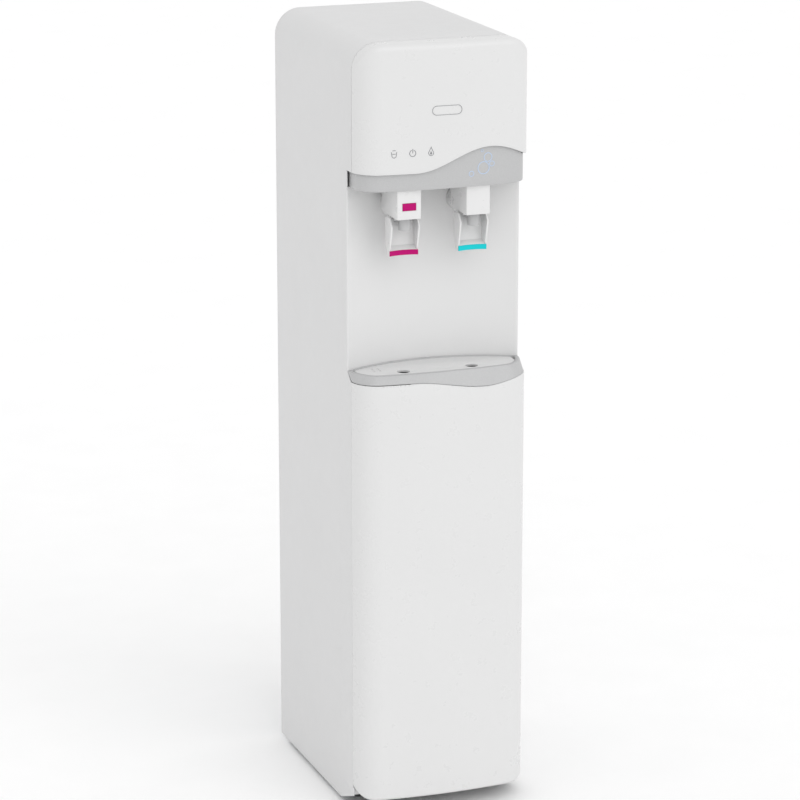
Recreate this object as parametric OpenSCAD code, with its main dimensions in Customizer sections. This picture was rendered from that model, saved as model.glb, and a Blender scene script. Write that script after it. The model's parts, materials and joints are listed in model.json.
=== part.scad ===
// Floor-standing hot and cold water dispenser.
// Millimetres, +Z up, +X to the user's right, +Y to the back.
// Origin: on the floor, at the centre of the footprint.

/* [Cabinet] */
// Width across the side walls
cabinet_w = 254; // [254:1:262]
// Depth from the front crown to the rear edge
cabinet_d = 370; // [370:1:380]
// Height of the top surface above the floor
cabinet_h = 1106; // [1106:1:1120]
// Radius of the top edges along the depth
top_r = 38; // [30:1:40]
// Thickness of the moulded walls
wall = 2.5; // [2:0.1:3]
// Gap between the cabinet's underside and the floor
foot_gap = 6; // [4:1:10]

/* [Front] */
// Radius of the front's vertical edges
edge_r = 38; // [32:1:40]
// Plan radius of the front's shallow crown
crown_r = 800; // [700:10:1200]
// How far the silver trim sits behind the cover's face
trim_inset = 4.5; // [4:0.5:6]
// Height of the crest in the trim's upper edge
wave_rise = 31; // [20:1:34]
// How far the door's upper edge steps down from left to right
door_step = 12.5; // [8:0.5:14]
// Radius of the door's lower corners
door_corner_r = 20; // [12:1:24]

/* [Dispensing bay] */
// Height of the bay's ceiling
bay_top = 905; // [900:1:908]
// Height of the drip tray's rim
tray_rim = 647; // [645:1:648]
// Plan radius of the concave back panel
bay_r = 245; // [240:1:260]

/* [Taps] */
// Distance between the two spouts
tap_pitch = 100.5; // [96:0.5:104]
// Sideways place of the middle between the spouts
tap_mid_x = -3; // [-4:0.5:4]
// Outer radius of a spout
spout_r = 8.3; // [7.5:0.1:8.5]
// Radius of a spout's bore
spout_bore_r = 4.5; // [3:0.1:4.8]

/* [Service parts] */
// Outer radius of a filter cartridge
filter_r = 33; // [30:0.5:34]
// Bore radius of the inlet's push-fit socket, for 6.35 mm tube
inlet_bore_r = 3.2; // [3.2:0.05:3.4]

/* [Hidden] */
$fn = 48;
e = 0.01;

half_w = cabinet_w / 2;
y_front = -cabinet_d / 2;
y_back = cabinet_d / 2;
seam_y = y_front + 38.5;
door_back = y_front + 41.5;
notch_y = y_front + 61;
trim_end_y = y_front + 58;
sheet = 1.2;
inner_w = half_w - sheet;
panel_y = y_back - 25;
bulkhead_y = -72;
door_base = 27;
tank_y = 46;
tray_ledge = tray_rim - 5;
// Side walls are cut up at the toe, from here forwards
toe_y = y_front + 93;

// ---- outline helpers ----
function arc(cx, cy, r, from, to, n) =
    [for (i = [0:n]) let (a = from + (to - from) * i / n) [cx + r * cos(a), cy + r * sin(a)]];
corner_x = half_w - edge_r;
corner_y = y_front + crown_r - sqrt(pow(crown_r - edge_r, 2) - pow(corner_x, 2));
corner_a = atan2(corner_y - y_front - crown_r, corner_x);
// Front path in plan, left to right: corner arc, crown, corner arc, all moved in by t
function front_path(t) = concat(
    arc(-corner_x, corner_y, edge_r - t, -180, -180 - corner_a, 12),
    [for (i = [1:15]) let (a = -180 - corner_a + (2 * corner_a + 180) * i / 16)
        [(crown_r - t) * cos(a), y_front + crown_r + (crown_r - t) * sin(a)]],
    arc(corner_x, corner_y, edge_r - t, corner_a, 0, 12));
function front_y(x, t) = y_front + crown_r - sqrt(pow(crown_r - t, 2) - x * x);
function front_slope(x) = asin(x / crown_r);
function bump(x, mid, reach) = (1 + cos(180 * min(abs(x - mid) / reach, 1))) / 2;
function wave_z(x) = 929 + wave_rise * bump(x, 62, 110);
function door_z(x) = 635.3 - door_step * (1 - bump(max(min(x, 60), -50), -50, 110))
    + 9.5 * (1 - bump(max(x, 60), 60, 70));
function bay_y(x) = y_front + 94.5 - bay_r + sqrt(bay_r * bay_r - x * x);

// Plan of the front: its face and corners at inset t, and straight sides behind them
module front_plan(t) {
    polygon(concat(front_path(t), [[half_w - t, 0], [t - half_w, 0]]));
}
// Extrudes an x-z outline along Y, from y0 to y1
module along_y(y0, y1) {
    translate([0, y1, 0]) rotate([90, 0, 0]) linear_extrude(y1 - y0) children();
}
// Extrudes a y-z outline along X, from x0 to x1
module along_x(x0, x1) {
    translate([x0, 0, 0]) rotate([90, 0, 90]) linear_extrude(x1 - x0) children();
}
module block(x0, x1, y0, y1, z0, z1) {
    translate([x0, y0, z0]) cube([x1 - x0, y1 - y0, z1 - z0]);
}
module rod(a, b, r) {
    v = b - a;
    translate(a) rotate([0, acos(v.z / norm(v)), atan2(v.y, v.x)])
        cylinder(h = norm(v), r = r, $fn = 24);
}
// Tube with a slightly fuller elbow at each bend
module pipe(points, r) {
    for (i = [1:len(points) - 1]) rod(points[i - 1], points[i], r);
    for (i = [1:1:len(points) - 2]) translate(points[i]) sphere(r * 1.15, $fn = 24);
}
module peg(x, y, z, r, h) {
    translate([x, y, z]) cylinder(h = h, r = r);
}
module rear_peg(x, z, y0, y1, r) {
    translate([x, y1, z]) rotate([90, 0, 0]) cylinder(h = y1 - y0, r = r);
}

// ---- enclosure ----
module arch(t) {
    polygon(concat([[t - half_w, foot_gap]],
        arc(top_r - half_w, cabinet_h - top_r, top_r - t, 180, 90, 12),
        arc(half_w - top_r, cabinet_h - top_r, top_r - t, 90, 0, 12),
        [[half_w - t, foot_gap]]));
}
// Side wall's cut-back beside the bay, up to the trim's upper edge
module bay_notch(z_low, z_high) {
    y_low = corner_y + 1.3;
    polygon([[seam_y - 1, z_low], [y_low, z_low], [notch_y - 0.4, tray_rim],
        [notch_y, tray_rim + 2], [notch_y, bay_top - 6], [trim_end_y, bay_top + 2], [trim_end_y, z_high],
        [seam_y - 1, z_high]]);
}
// Side wall's cut-back that lets the door's returns reach behind the seam
module door_notch(z_high) {
    polygon([[seam_y - 1, door_base + 12], [door_back + 0.4, door_base + 12], [door_back + 0.4, z_high],
        [seam_y - 1, z_high]]);
}
// Corner tabs folded inwards behind the door's round lower corners
tab_reach = 22;
tab_top = 62;
module cabinet_wrap() {
    color("whitesmoke") {
        difference() {
            along_y(seam_y, y_back) difference() {
                arch(0);
                translate([0, -e]) arch(sheet);
            }
            for (s = [-1, 1]) along_x(s < 0 ? -half_w - 1 : 0, s < 0 ? 0 : half_w + 1) {
                bay_notch(door_z(s * half_w) - 1.5, wave_z(s * half_w));
                door_notch(door_z(s * half_w));
                polygon([[seam_y - 1, 0], [toe_y, 0], [toe_y, foot_gap], [seam_y - 1, door_base]]);
            }
        }
        for (x = [0.5 - half_w, half_w - tab_reach])
            block(x, x + tab_reach - 0.5, door_back + 0.5, door_back + 0.5 + sheet, door_base + 0.2, tab_top);
    }
}
module base_pan() {
    color("dimgray") difference() {
        union() {
            block(-inner_w, inner_w, toe_y + 2, panel_y, 8, 22);
            for (x = [-95, 95], y = [-72, 140]) peg(x, y, foot_gap, 9, 14);
            for (x = [-65, 25], y = [10, 100]) peg(x, y, 8, 3, 26);
        }
        difference() {
            block(sheet - inner_w, inner_w - sheet, toe_y + 2 + sheet, panel_y - sheet, 8 + sheet, 23);
            for (x = [-95, 95], y = [-72, 140]) peg(x, y, foot_gap, 9, 14);
            for (x = [-65, 25], y = [10, 100]) peg(x, y, 8, 3, 26);
        }
        for (x = [-95, 95], y = [-72, 140]) peg(x, y, 5, 4.05, 30);
        for (x = [-84:14:84]) block(x - 3, x + 3, -60, -10, 7, 11);
    }
}
module levelling_feet() {
    color("black") for (x = [-95, 95], y = [-72, 140]) {
        peg(x, y, 0, 15, foot_gap - 0.5);
        peg(x, y, foot_gap - 1, 4, 15.5);
    }
}
// Where the refrigerant lines pass through the back, in x and z
line_holes = [[-110, 345], [110, 970]];
module rear_panel() {
    color("gainsboro") difference() {
        union() {
            block(-inner_w, inner_w, panel_y, panel_y + sheet, 10, cabinet_h - 40);
            block(-95, 95, panel_y, panel_y + sheet, cabinet_h - 41, cabinet_h - 8);
        }
        for (z = [250:14:320], x = [-70, 0, 70]) block(x - 28, x + 28, panel_y - 1, panel_y + 3, z, z + 6);
        for (z = [1015:12:1064], x = [-45, 45]) block(x - 35, x + 35, panel_y - 1, panel_y + 3, z, z + 5);
        rear_peg(-80, 90, panel_y - 1, panel_y + 3, 9.05);
        for (x = [-95, -55]) rear_peg(x, 170, panel_y - 1, panel_y + 3, 8.05);
        block(66, 94, panel_y - 1, panel_y + 3, 60, 80);
        block(56, 104, panel_y - 1, panel_y + 3, 130, 154);
        for (p = line_holes) rear_peg(p.x, p[1], panel_y - 1, panel_y + 3, 4);
        for (x = [-114, 114], z = [30:205:1055]) rear_peg(x, z, panel_y - 1, panel_y + 3, 1.8);
    }
}
module rear_uprights() {
    color("silver") for (s = [-1, 1]) scale([s, 1, 1]) difference() {
        block(104, inner_w, 134, panel_y, 22, cabinet_h - 40);
        block(103, inner_w - sheet, 133, panel_y - sheet, 21, cabinet_h);
        for (z = [30:205:1055]) rear_peg(114, z, panel_y - 3, panel_y + 1, 1.45);
        rear_peg(110, s < 0 ? line_holes[0][1] : line_holes[1][1], panel_y - 3, panel_y + 1, 4);
    }
}
module mid_bulkhead() {
    color("silver") difference() {
        block(-inner_w, inner_w, bulkhead_y, bulkhead_y + sheet, 22, cabinet_h - 42);
        for (s = [-1, 1]) rear_peg(tap_x(s), shank_z, bulkhead_y - 1, bulkhead_y + 3, 12);
        rear_peg(-104, 60, bulkhead_y - 1, bulkhead_y + 3, 6);
        rear_peg(104, 560, bulkhead_y - 1, bulkhead_y + 3, 6);
        block(-60, 60, bulkhead_y - 1, bulkhead_y + 3, 930, 960);
        for (x = [-60:40:60]) block(x - 12, x + 12, bulkhead_y - 1, bulkhead_y + 3, 60, 180);
    }
}
module shelf_plate(z) {
    block(-inner_w, inner_w, bulkhead_y + sheet, 134, z, z + sheet);
    block(-inner_w, inner_w, bulkhead_y + sheet, bulkhead_y + 2 * sheet, z - 12, z + e);
}
module lower_shelf() {
    color("silver") difference() {
        shelf_plate(380);
        peg(34, 50, 370, 12, 20);
        peg(-95, 100, 370, 14, 20);
        peg(112, 126, 370, 7, 20);
    }
}
module upper_shelf() {
    color("silver") difference() {
        shelf_plate(668);
        peg(0, tank_y, 660, 14, 20);
        peg(tap_x(1), tank_y, 660, 8, 20);
        for (s = [-1, 1]) peg(tap_x(s), tube_y, 650, 6, 30);
        peg(-113, -55, 660, 8, 20);
        peg(110, -55, 660, 8, 20);
        peg(112, 126, 660, 7, 20);
    }
}
module upper_frame() {
    color("lightgray") difference() {
        union() {
            block(-inner_w, inner_w, -112, -109.5, bay_top + 4, cabinet_h - 42);
            for (x = [-110, 110], z = [960, 1050]) rear_peg(x, z, -146, -111, 5);
            block(-100, 100, -112, bulkhead_y, 1052, 1054.5);
            for (x = [-70, 70], z = [985, 1040]) rear_peg(x, z, -120, -111, 3);
        }
        for (x = [-110, 110], z = [960, 1050]) rear_peg(x, z, -147, -130, 1.8);
        block(-40, 40, -113, -108, 930, 950);
    }
}

// ---- front skin ----
// Front view of the cover: round upper corners and the wave below
module cover_face(t, drop) {
    polygon(concat(
        arc(top_r - half_w, cabinet_h - top_r, top_r - t, 180, 90, 12),
        arc(half_w - top_r, cabinet_h - top_r, top_r - t, 90, 0, 12),
        [for (i = [0:50]) let (x = (half_w - t) * (1 - i / 25)) [x, wave_z(x) - drop]]));
}
module upper_front_cover() {
    color("white") {
        difference() {
            intersection() {
                linear_extrude(cabinet_h + 5) front_plan(0);
                along_y(y_front - 5, seam_y - 0.4) cover_face(0, 0);
            }
            intersection() {
                linear_extrude(cabinet_h + 5) front_plan(wall);
                along_y(y_front - 6, seam_y + 2) cover_face(wall, 20);
            }
        }
        for (x = [-110, 110], z = [960, 1050]) difference() {
            rear_peg(x, z, -168, -146.2, 5);
            rear_peg(x, z, -160, -146, 1.7);
        }
    }
}
module wave_trim() {
    color("silver") intersection() {
        linear_extrude(cabinet_h) difference() {
            front_plan(trim_inset);
            translate([0, e]) front_plan(trim_inset + wall);
        }
        along_y(y_front, notch_y + 11) polygon(concat([[-half_w, bay_top], [half_w, bay_top]],
            [for (i = [0:50]) let (x = half_w * (1 - i / 25))
                [x, wave_z(x) + (abs(x) < 112 ? 6 : -0.6)]]));
    }
}
// Places a flat outline on the front surface at inset t, its thickness outwards
module on_front(x, z, t, thick) {
    translate([x, front_y(x, t), z]) rotate([90, 0, front_slope(x)]) linear_extrude(thick) children();
}
module ring2d(r, w) {
    difference() {
        circle(r);
        circle(r - w);
    }
}
module bubble_inlays() {
    color("lightsteelblue") {
        on_front(52.5, 930, trim_inset, 0.3) ring2d(9, 1.2);
        on_front(59, 944.3, trim_inset, 0.3) ring2d(6.4, 1.1);
        on_front(65, 934.9, trim_inset, 0.3) ring2d(4, 1);
        on_front(34.5, 923, trim_inset, 0.3) ring2d(4, 1);
        on_front(50.3, 953.8, trim_inset, 0.3) ring2d(2, 0.7);
    }
}
module drop2d(r) {
    polygon(concat(arc(0, 0, r, -225, 45, 24), [[0, r * 2.3]]));
}
module indicator_icons() {
    color("darkgray") {
        on_front(-78, 957, 0, 0.3) {
            translate([0, -2]) difference() {
                ring2d(4.2, 0.9);
                translate([-5, 1]) square([10, 5]);
            }
            translate([-4.5, 3.2]) square([9, 0.9]);
            translate([-2, 5.4]) square([4, 0.8]);
        }
        on_front(-52, 957.5, 0, 0.3) {
            difference() {
                ring2d(4.8, 0.9);
                translate([-1.5, 2]) square([3, 5]);
            }
            translate([-0.45, 0]) square([0.9, 6]);
        }
        on_front(-26, 956.5, 0, 0.3) difference() {
            drop2d(4);
            drop2d(3);
        }
        blank_badge();
    }
}
module blank_badge() {
    on_front(-3, 1014, 0, 0.3) difference() {
        union() {
            square([30, 13], center = true);
            for (s = [-1, 1]) translate([s * 15, 0]) circle(6.5);
        }
        union() {
            square([30, 11.8], center = true);
            for (s = [-1, 1]) translate([s * 15, 0]) circle(5.9);
        }
    }
}

// ---- dispensing bay ----
function bay_arc(r, n, reach) =
    let (a = asin(reach / r)) arc(0, y_front + 94.5 - bay_r, r, 90 - a, 90 + a, n);
module bay_panel() {
    color("whitesmoke") difference() {
        union() {
            translate([0, 0, 614]) linear_extrude(bay_top - 614)
                polygon(concat(bay_arc(bay_r, 24, inner_w),
                    [for (i = [24:-1:0]) bay_arc(bay_r + wall, 24, inner_w)[i]]));
            translate([0, 0, bay_top]) linear_extrude(wall)
                polygon(concat(bay_arc(bay_r + wall, 24, half_w - trim_inset - wall - 0.1),
                    front_path(trim_inset + wall + 0.1)));
        }
        for (s = [-1, 1]) rear_peg(tap_x(s), shank_z, -110, -80, 9.1);
        for (s = [-1, 1]) block(tap_x(s) - 10, tap_x(s) + 10, -165, -120, bay_top - 1, bay_top + 4);
    }
}
module tray_shelf() {
    color("lightgray") difference() {
        translate([0, 0, 611]) linear_extrude(wall)
            polygon(concat(bay_arc(bay_r, 24, inner_w),
                [[-inner_w, -135], [-90, -166], [90, -166], [inner_w, -135]]));
        block(-90, 90, -150, -105, 610, 615);
    }
    color("lightgray") block(-inner_w, inner_w, bay_y(0) - 3, bulkhead_y, 608.5, 611);
}
// How far the tray's rim stands behind its lower edge, and more so at the two ends
function rim_lean(x) = 8.5 + 7.5 * (1 - bump(max(abs(x), 100), 100, 26));
// Tray's slanted front: a point i of the front path, carried back to the rim
function tray_pt(i, t, z) = let (p = front_path(t)[i]) [p.x, p.y + rim_lean(p.x), z];
// Plan line through the tray's two tips, which its insets shrink towards
tip_y = -125;
function rim_inset(p, d, reach, depth) =
    [p.x * (1 - d / reach), tip_y + (p.y - tip_y) * (1 - d / depth)];
tray_n = len(front_path(0));
// Rim outline moved in by d, from left to right
function rim_front(d) = [for (i = [0:tray_n - 1])
    rim_inset(tray_pt(i, 3, tray_rim), d, 124, 51)];
function rim_back(d) = [for (q = bay_arc(bay_r - 0.6, 24, 122)) rim_inset([q[0], q[1]], d, 122, 34)];
module tray_plan(d) {
    polygon(concat(rim_front(d), rim_back(d)));
}
module drip_tray() {
    color("silver") {
        polyhedron(
            points = [for (i = [0:tray_n - 1]) each
                [[front_path(0.8)[i].x, front_path(0.8)[i].y, door_z(front_path(0.8)[i].x)],
                 tray_pt(i, 0.8, tray_rim), tray_pt(i, 3.2, tray_rim),
                 [front_path(3.2)[i].x, front_path(3.2)[i].y, door_z(front_path(3.2)[i].x)]]],
            faces = concat([[3, 2, 1, 0]],
                [[4 * tray_n - 4, 4 * tray_n - 3, 4 * tray_n - 2, 4 * tray_n - 1]],
                [for (i = [0:tray_n - 2], k = [0:3])
                    [4 * i + (k + 1) % 4, 4 * i + 4 + (k + 1) % 4, 4 * i + 4 + k, 4 * i + k]]));
        translate([0, 0, tray_ledge]) linear_extrude(tray_rim - tray_ledge) difference() {
            tray_plan(0);
            tray_plan(4);
        }
        translate([0, 0, 616]) linear_extrude(tray_ledge - 616 + e) difference() {
            tray_plan(3);
            tray_plan(8);
        }
        translate([0, 0, 614]) linear_extrude(2.5) tray_plan(3);
    }
}
module drip_grille() {
    color("gainsboro") difference() {
        translate([0, 0, tray_ledge + 0.3]) linear_extrude(3.4) intersection() {
            tray_plan(4.9);
            square([2 * 116, 400], center = true);
        }
        for (s = [-1, 1]) peg(tap_x(s), spout_y + 4, 640, 9, 8);
        for (x = [-91, -82.5]) block(x - 0.8, x + 0.8, -140, -122, tray_ledge + 2.8, 648);
    }
}

// ---- service door ----
module door_face(t) {
    polygon(concat(
        arc(door_corner_r - half_w, door_base + door_corner_r, door_corner_r - t, -180, -90, 8),
        arc(half_w - door_corner_r, door_base + door_corner_r, door_corner_r - t, -90, 0, 8),
        [for (i = [0:50]) let (x = (half_w - t) * (1 - i / 25)) [x, door_z(x) - 0.6 - t]]));
}
door_flange = 6;
catch_x = 108;
catch_z = [90, 585];
module front_door() {
    color("white") difference() {
        union() {
            difference() {
                intersection() {
                    linear_extrude(700) front_plan(0);
                    along_y(y_front - 5, door_back) door_face(0);
                }
                intersection() {
                    linear_extrude(701) front_plan(wall);
                    along_y(y_front - 6, door_back + 2) door_face(wall);
                }
                // only a narrow flange is left along the top, in front of the tray's bowl
                translate([0, 0, 606]) linear_extrude(60) front_plan(door_flange);
            }
            for (s = [-1, 1], z = catch_z)
                block(s * catch_x - 5, s * catch_x + 5, -169, -136, z - 1.5, z + 1.5);
            // stiffening ribs that follow the inside of the face
            for (z = [130:120:490]) intersection() {
                translate([0, 0, z]) linear_extrude(2) difference() {
                    front_plan(wall - 0.5);
                    translate([0, 4]) front_plan(wall - 0.5);
                }
                block(-85, 85, y_front, -100, z - 1, z + 3);
            }
        }
    }
}
module door_catches() {
    color("dimgray") for (s = [-1, 1], z = catch_z) difference() {
        block(s * catch_x - 9, s * catch_x + 9, -146, bulkhead_y, z - 7, z + 7);
        block(s * catch_x - 5.4, s * catch_x + 5.4, -147, -130, z - 2, z + 2);
    }
}

// ---- taps ----
// Y of the tubes that drop between the bulkhead and the tank's jacket
tube_y = -60;
spout_y = y_front + 30.5;
tap_front = y_front + 11.5;
tap_w = 34.5;
tap_base = 864;
boss_y = y_front + 73.5;
pivot_y = spout_y - 12;
pivot_z = 873;
shank_z = 873;
function tap_x(s) = tap_mid_x + s * tap_pitch / 2;
module tap_body(s) {
    translate([tap_x(s), 0, 0]) difference() {
        union() {
            block(-tap_w / 2, tap_w / 2, tap_front, boss_y + 1, tap_base, bay_top - 0.1);
            // round boss, its back shaped to the concave panel
            difference() {
                rear_peg(0, shank_z, boss_y, bay_y(0), tap_w / 2 - 0.2);
                translate([-tap_x(s), 0, shank_z - 20]) linear_extrude(40)
                    polygon(concat(bay_arc(bay_r - 0.05, 24, inner_w), [[-inner_w, 0], [inner_w, 0]]));
            }
            rear_peg(0, shank_z, boss_y, bulkhead_y - 2, 9);
        }
        // lever and valve chamber, open below
        block(-15, 15, tap_front + 3, -126, tap_base - 1, 897);
        rear_peg(0, shank_z, -128, bulkhead_y + 1, 4.1);
        translate([-20, pivot_y, pivot_z]) rotate([0, 90, 0]) cylinder(h = 40, r = 1.5);
        if (s < 0) block(-10.1, 10.1, tap_front - 1, tap_front + 4, 876.3, 887.1);
    }
}
module hot_tap_body() { color("white") tap_body(-1); }
module cold_tap_body() { color("white") tap_body(1); }
// Height of the spouts' mouths
spout_tip = tap_base - 18;
// Spout with its valve seat and the feed pipe behind it
module spout(s) {
    color("darkgray") translate([tap_x(s), 0, 0]) difference() {
        union() {
            peg(0, spout_y, spout_tip, spout_r, 23.5);
            block(-5, 5, spout_y + 5, -138, 864.5, 877.5);
            rear_peg(0, shank_z, -139, bulkhead_y - 6, 4);
            block(-14.9, 14.9, spout_y - 3, spout_y + 3, 864.5, 867);
        }
        peg(0, spout_y, spout_tip - 1.5, spout_bore_r, 32);
        peg(0, spout_y, 866, 6.5, 9);
        peg(0, spout_y, 869.5, 9.8, 10);
        rear_peg(0, 867.8, spout_y, -142, 1.5);
        rear_peg(0, shank_z, -144, bulkhead_y, 2.4);
        peg(0, -143, 867, 1.6, 6);
    }
}
module hot_spout() { spout(-1); }
module cold_spout() { spout(1); }
// Width and plan radius of a lever's concave lip, and the heights of its lip and its plate
paddle_w = 42;
paddle_r = 58.8;
strip_z = 810;
plate_top = 855.5;
// Sideways place of a lever arm's middle, from the tap's middle
arm_x = 11.4;
// Lever: two arms from the pin past the valve, and a concave paddle behind the spout
module lever(s) {
    color("white") translate([tap_x(s), 0, 0]) {
        for (k = [-1, 1]) difference() {
            union() {
                translate([k * arm_x - 2.5, pivot_y, pivot_z]) rotate([0, 90, 0]) cylinder(h = 5, r = 3.4);
                along_x(k * arm_x - 2.5, k * arm_x + 2.5) polygon([[pivot_y + 1, pivot_z - 3.2],
                    [-134, 867.6], [-138, 858], [-138, 838], [-133.5, 838], [-130.5, 858], [-129, 872.6],
                    [-134, 874.4], [pivot_y + 1, pivot_z + 3.2]]);
            }
            translate([-20, pivot_y, pivot_z]) rotate([0, 90, 0]) cylinder(h = 40, r = 1.56);
        }
        for (k = [-1, 1]) block(k * 7.6 - 1.4, k * 7.6 + 1.4, spout_y - 3, spout_y + 3, 870.4, 874.3);
        for (k = [-1, 1]) block(k * 8.5 - 1.5, k * 8.5 + 1.5, spout_y - 3, spout_y + 3, 870.4, 873);
        // side walls that stiffen the paddle and rise outside the tap
        for (k = [-1, 1]) along_x(k * (paddle_w / 2 - 1.2) - 1.2, k * (paddle_w / 2 - 1.2) + 1.2)
            polygon([[-139, 814], [-151.4, 817.2], [-159.5, 851], [-150, 862.8], [-134, 862.8],
                [-135.4, 822]]);
        // paddle: a plate behind the spout, with a lower lip kicked forwards and curved in plan
        difference() {
            along_x(-paddle_w / 2, paddle_w / 2) polygon([[-138, plate_top], [-133, plate_top],
                [-135.4, 822], [-141, strip_z], [-152.3, strip_z], [-152.3, strip_z + 7.2],
                [-139.6, 824]]);
            translate([0, spout_y - 52, 800]) difference() {
                cylinder(h = strip_z - 800 + 7.3, r = paddle_r, $fn = 96);
                translate([-60, -60, -1]) cube([120, 60, 30]);
            }
        }
    }
}
module hot_lever() { lever(-1); }
module cold_lever() { lever(1); }
// Coloured strip that lines the paddle's lower lip
module lever_strip(s) {
    translate([tap_x(s), spout_y - 52, strip_z]) intersection() {
        linear_extrude(7.1) difference() {
            circle(r = paddle_r, $fn = 96);
            circle(r = paddle_r - 1.6, $fn = 96);
        }
        block(-paddle_w / 2, paddle_w / 2, 40, 70, -1, 10);
    }
}
module hot_lever_strip() { color("mediumvioletred") lever_strip(-1); }
module cold_lever_strip() { color("darkturquoise") lever_strip(1); }
module lever_pins() {
    color("silver") for (s = [-1, 1]) translate([tap_x(s) - tap_w / 2 + 0.3, pivot_y, pivot_z])
        rotate([0, 90, 0]) cylinder(h = tap_w - 0.6, r = 1.5);
}
module valve_stem(s) {
    color("ivory") {
        peg(tap_x(s), spout_y, 866.3, 6, 2.6);
        peg(tap_x(s), spout_y, 868.5, 2.2, 14);
        peg(tap_x(s), spout_y, 875.3, 8.2, 1.8);
    }
}
module hot_valve_stem() { valve_stem(-1); }
module cold_valve_stem() { valve_stem(1); }
spring_low = 877.4;
spring_high = 896.7;
// One ring of the spring's wire at turn fraction a
function wire_ring(a, turns, r, w, low, high) = [for (k = [0:5]) let (b = 60 * k, q = r + w * cos(b))
    [q * cos(a * 360 * turns), q * sin(a * 360 * turns), low + w + (high - low - 2 * w) * a + w * sin(b)]];
module valve_spring(s) {
    turns = 5;
    n = turns * 16;
    color("gray") translate([tap_x(s), spout_y, 0]) polyhedron(
        points = [for (i = [0:n]) each wire_ring(i / n, turns, 5.2, 0.5, spring_low, spring_high)],
        faces = concat([[for (k = [0:5]) k]], [[for (k = [5:-1:0]) 6 * n + k]],
            [for (i = [0:n - 1], k = [0:5])
                [6 * i + k, 6 * i + 6 + k, 6 * i + 6 + (k + 1) % 6, 6 * i + (k + 1) % 6]]));
}
module hot_valve_spring() { valve_spring(-1); }
module cold_valve_spring() { valve_spring(1); }
module hot_lock_button() {
    color("mediumvioletred") {
        block(tap_x(-1) - 9.8, tap_x(-1) + 9.8, tap_front - 0.8, tap_front + 3.6, 876.6, 886.8);
        block(tap_x(-1) - 8, tap_x(-1) + 8, tap_front + 3.5, tap_front + 5, 878, 889);
    }
}

// ---- cooling and heating ----
module cold_tank() {
    color("silver") translate([0, tank_y, 0]) difference() {
        rotate_extrude($fn = 72) polygon(concat([[0, 700]], arc(62, 720, 20, -90, 0, 6),
            arc(62, 950, 20, 0, 90, 6), [[0, 970]]));
        rotate_extrude($fn = 72) polygon(concat([[0, 700.8]], arc(62, 720, 19.2, -90, 0, 6),
            arc(62, 950, 19.2, 0, 90, 6), [[0, 969.2]]));
        peg(0, 0, 699, 5, 3);
        peg(tap_x(1), 0, 699, 5, 3);
        peg(45, 0, 968, 5, 4);
    }
}
module evaporator_coil() {
    color("peru") translate([0, tank_y, 0]) {
        for (i = [0:8]) translate([0, 0, 740 + 20 * i]) rotate_extrude($fn = 72)
            translate([86.4, 0]) circle(4, $fn = 20);
        translate([0, -86.4, 740]) cylinder(h = 160, r = 3);
    }
}
module cold_tank_jacket() {
    color("lightyellow") translate([0, tank_y, 0]) difference() {
        union() {
            translate([0, 0, 669.2]) cylinder(h = 321, r = 108, $fn = 72);
            translate([0, 0, 990]) cylinder(h = 14, r = 100, $fn = 72);
        }
        translate([0, 0, 699.9]) cylinder(h = 270.2, r = 91, $fn = 72);
        for (x = [0, tap_x(1)]) peg(x, 0, 660, 5.4, 60);
        peg(45, 0, 960, 5.4, 60);
        block(-6, 6, -120, -84, 734, 746);
    }
}
module hot_tank() {
    color("silver") translate([34, 50, 0]) difference() {
        rotate_extrude() polygon(concat([[0, 400]], arc(40, 408, 8, -90, 0, 4),
            arc(40, 582, 8, 0, 90, 4), [[0, 590]]));
        rotate_extrude() polygon(concat([[0, 401]], arc(40, 408, 7, -90, 0, 4),
            arc(40, 582, 7, 0, 90, 4), [[0, 589]]));
        for (x = [0, 26]) peg(x, 0, 588, 5, 4);
        peg(0, 0, 399, 5, 4);
    }
    color("silver") for (a = [0:120:359])
        translate([34 + 36 * cos(a), 50 + 36 * sin(a), 380 + sheet]) cylinder(h = 22, r = 4);
}
module heater_band() {
    color("tan") translate([34, 50, 0]) {
        difference() {
            peg(0, 0, 430, 51.5, 55);
            peg(0, 0, 429, 48.1, 57);
            block(-3, 3, 45, 60, 429, 486);
        }
        for (z = [440, 472]) block(50.5, 62, -7, 7, z, z + 8);
    }
}
module thermostats() {
    color("saddlebrown") for (p = [[10, 50], [34, 74]]) {
        peg(p.x, p.y, 590, 8, 7);
        peg(p.x, p.y, 597, 4, 4);
    }
}
function shell_outline(t) = concat([[0, 40 + t]], arc(46, 62, 22 - t, -90, 0, 6),
    arc(40, 150, 28 - t, 0, 90, 8), [[0, 178 - t]]);
module compressor() {
    color("black") translate([-20, 55, 0]) {
        difference() {
            union() {
                rotate_extrude($fn = 64) polygon(shell_outline(0));
                rod([0, -30, 170], [0, -30, 190], 4);
                rod([20, 20, 170], [20, 20, 190], 3);
            }
            // room between the shell and the motor and pump, open through the two stubs
            rotate_extrude($fn = 64) difference() {
                polygon(shell_outline(4));
                square([2 * 42, 2 * 112], center = true);
            }
            rod([0, -30, 165], [0, -30, 191], 2.6);
            rod([20, 20, 165], [20, 20, 191], 1.8);
        }
        difference() {
            block(-56, 56, -56, 56, 35, 39.5);
            for (x = [-45, 45], y = [-45, 45]) peg(x, y, 30, 5.05, 12);
        }
        peg(0, 0, 39, 50, 3);
        block(64.2, 82, -20, 20, 80, 125);
    }
}
module compressor_grommets() {
    color("dimgray") for (x = [-65, 25], y = [10, 100]) difference() {
        union() {
            peg(x, y, 9.2, 11, 25.5);
            peg(x, y, 34, 5, 8);
        }
        peg(x, y, 0, 3.05, 50);
    }
}
condenser_y = panel_y + 13;
condenser_z = [for (i = [0:10]) 370 + 60 * i];
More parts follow.
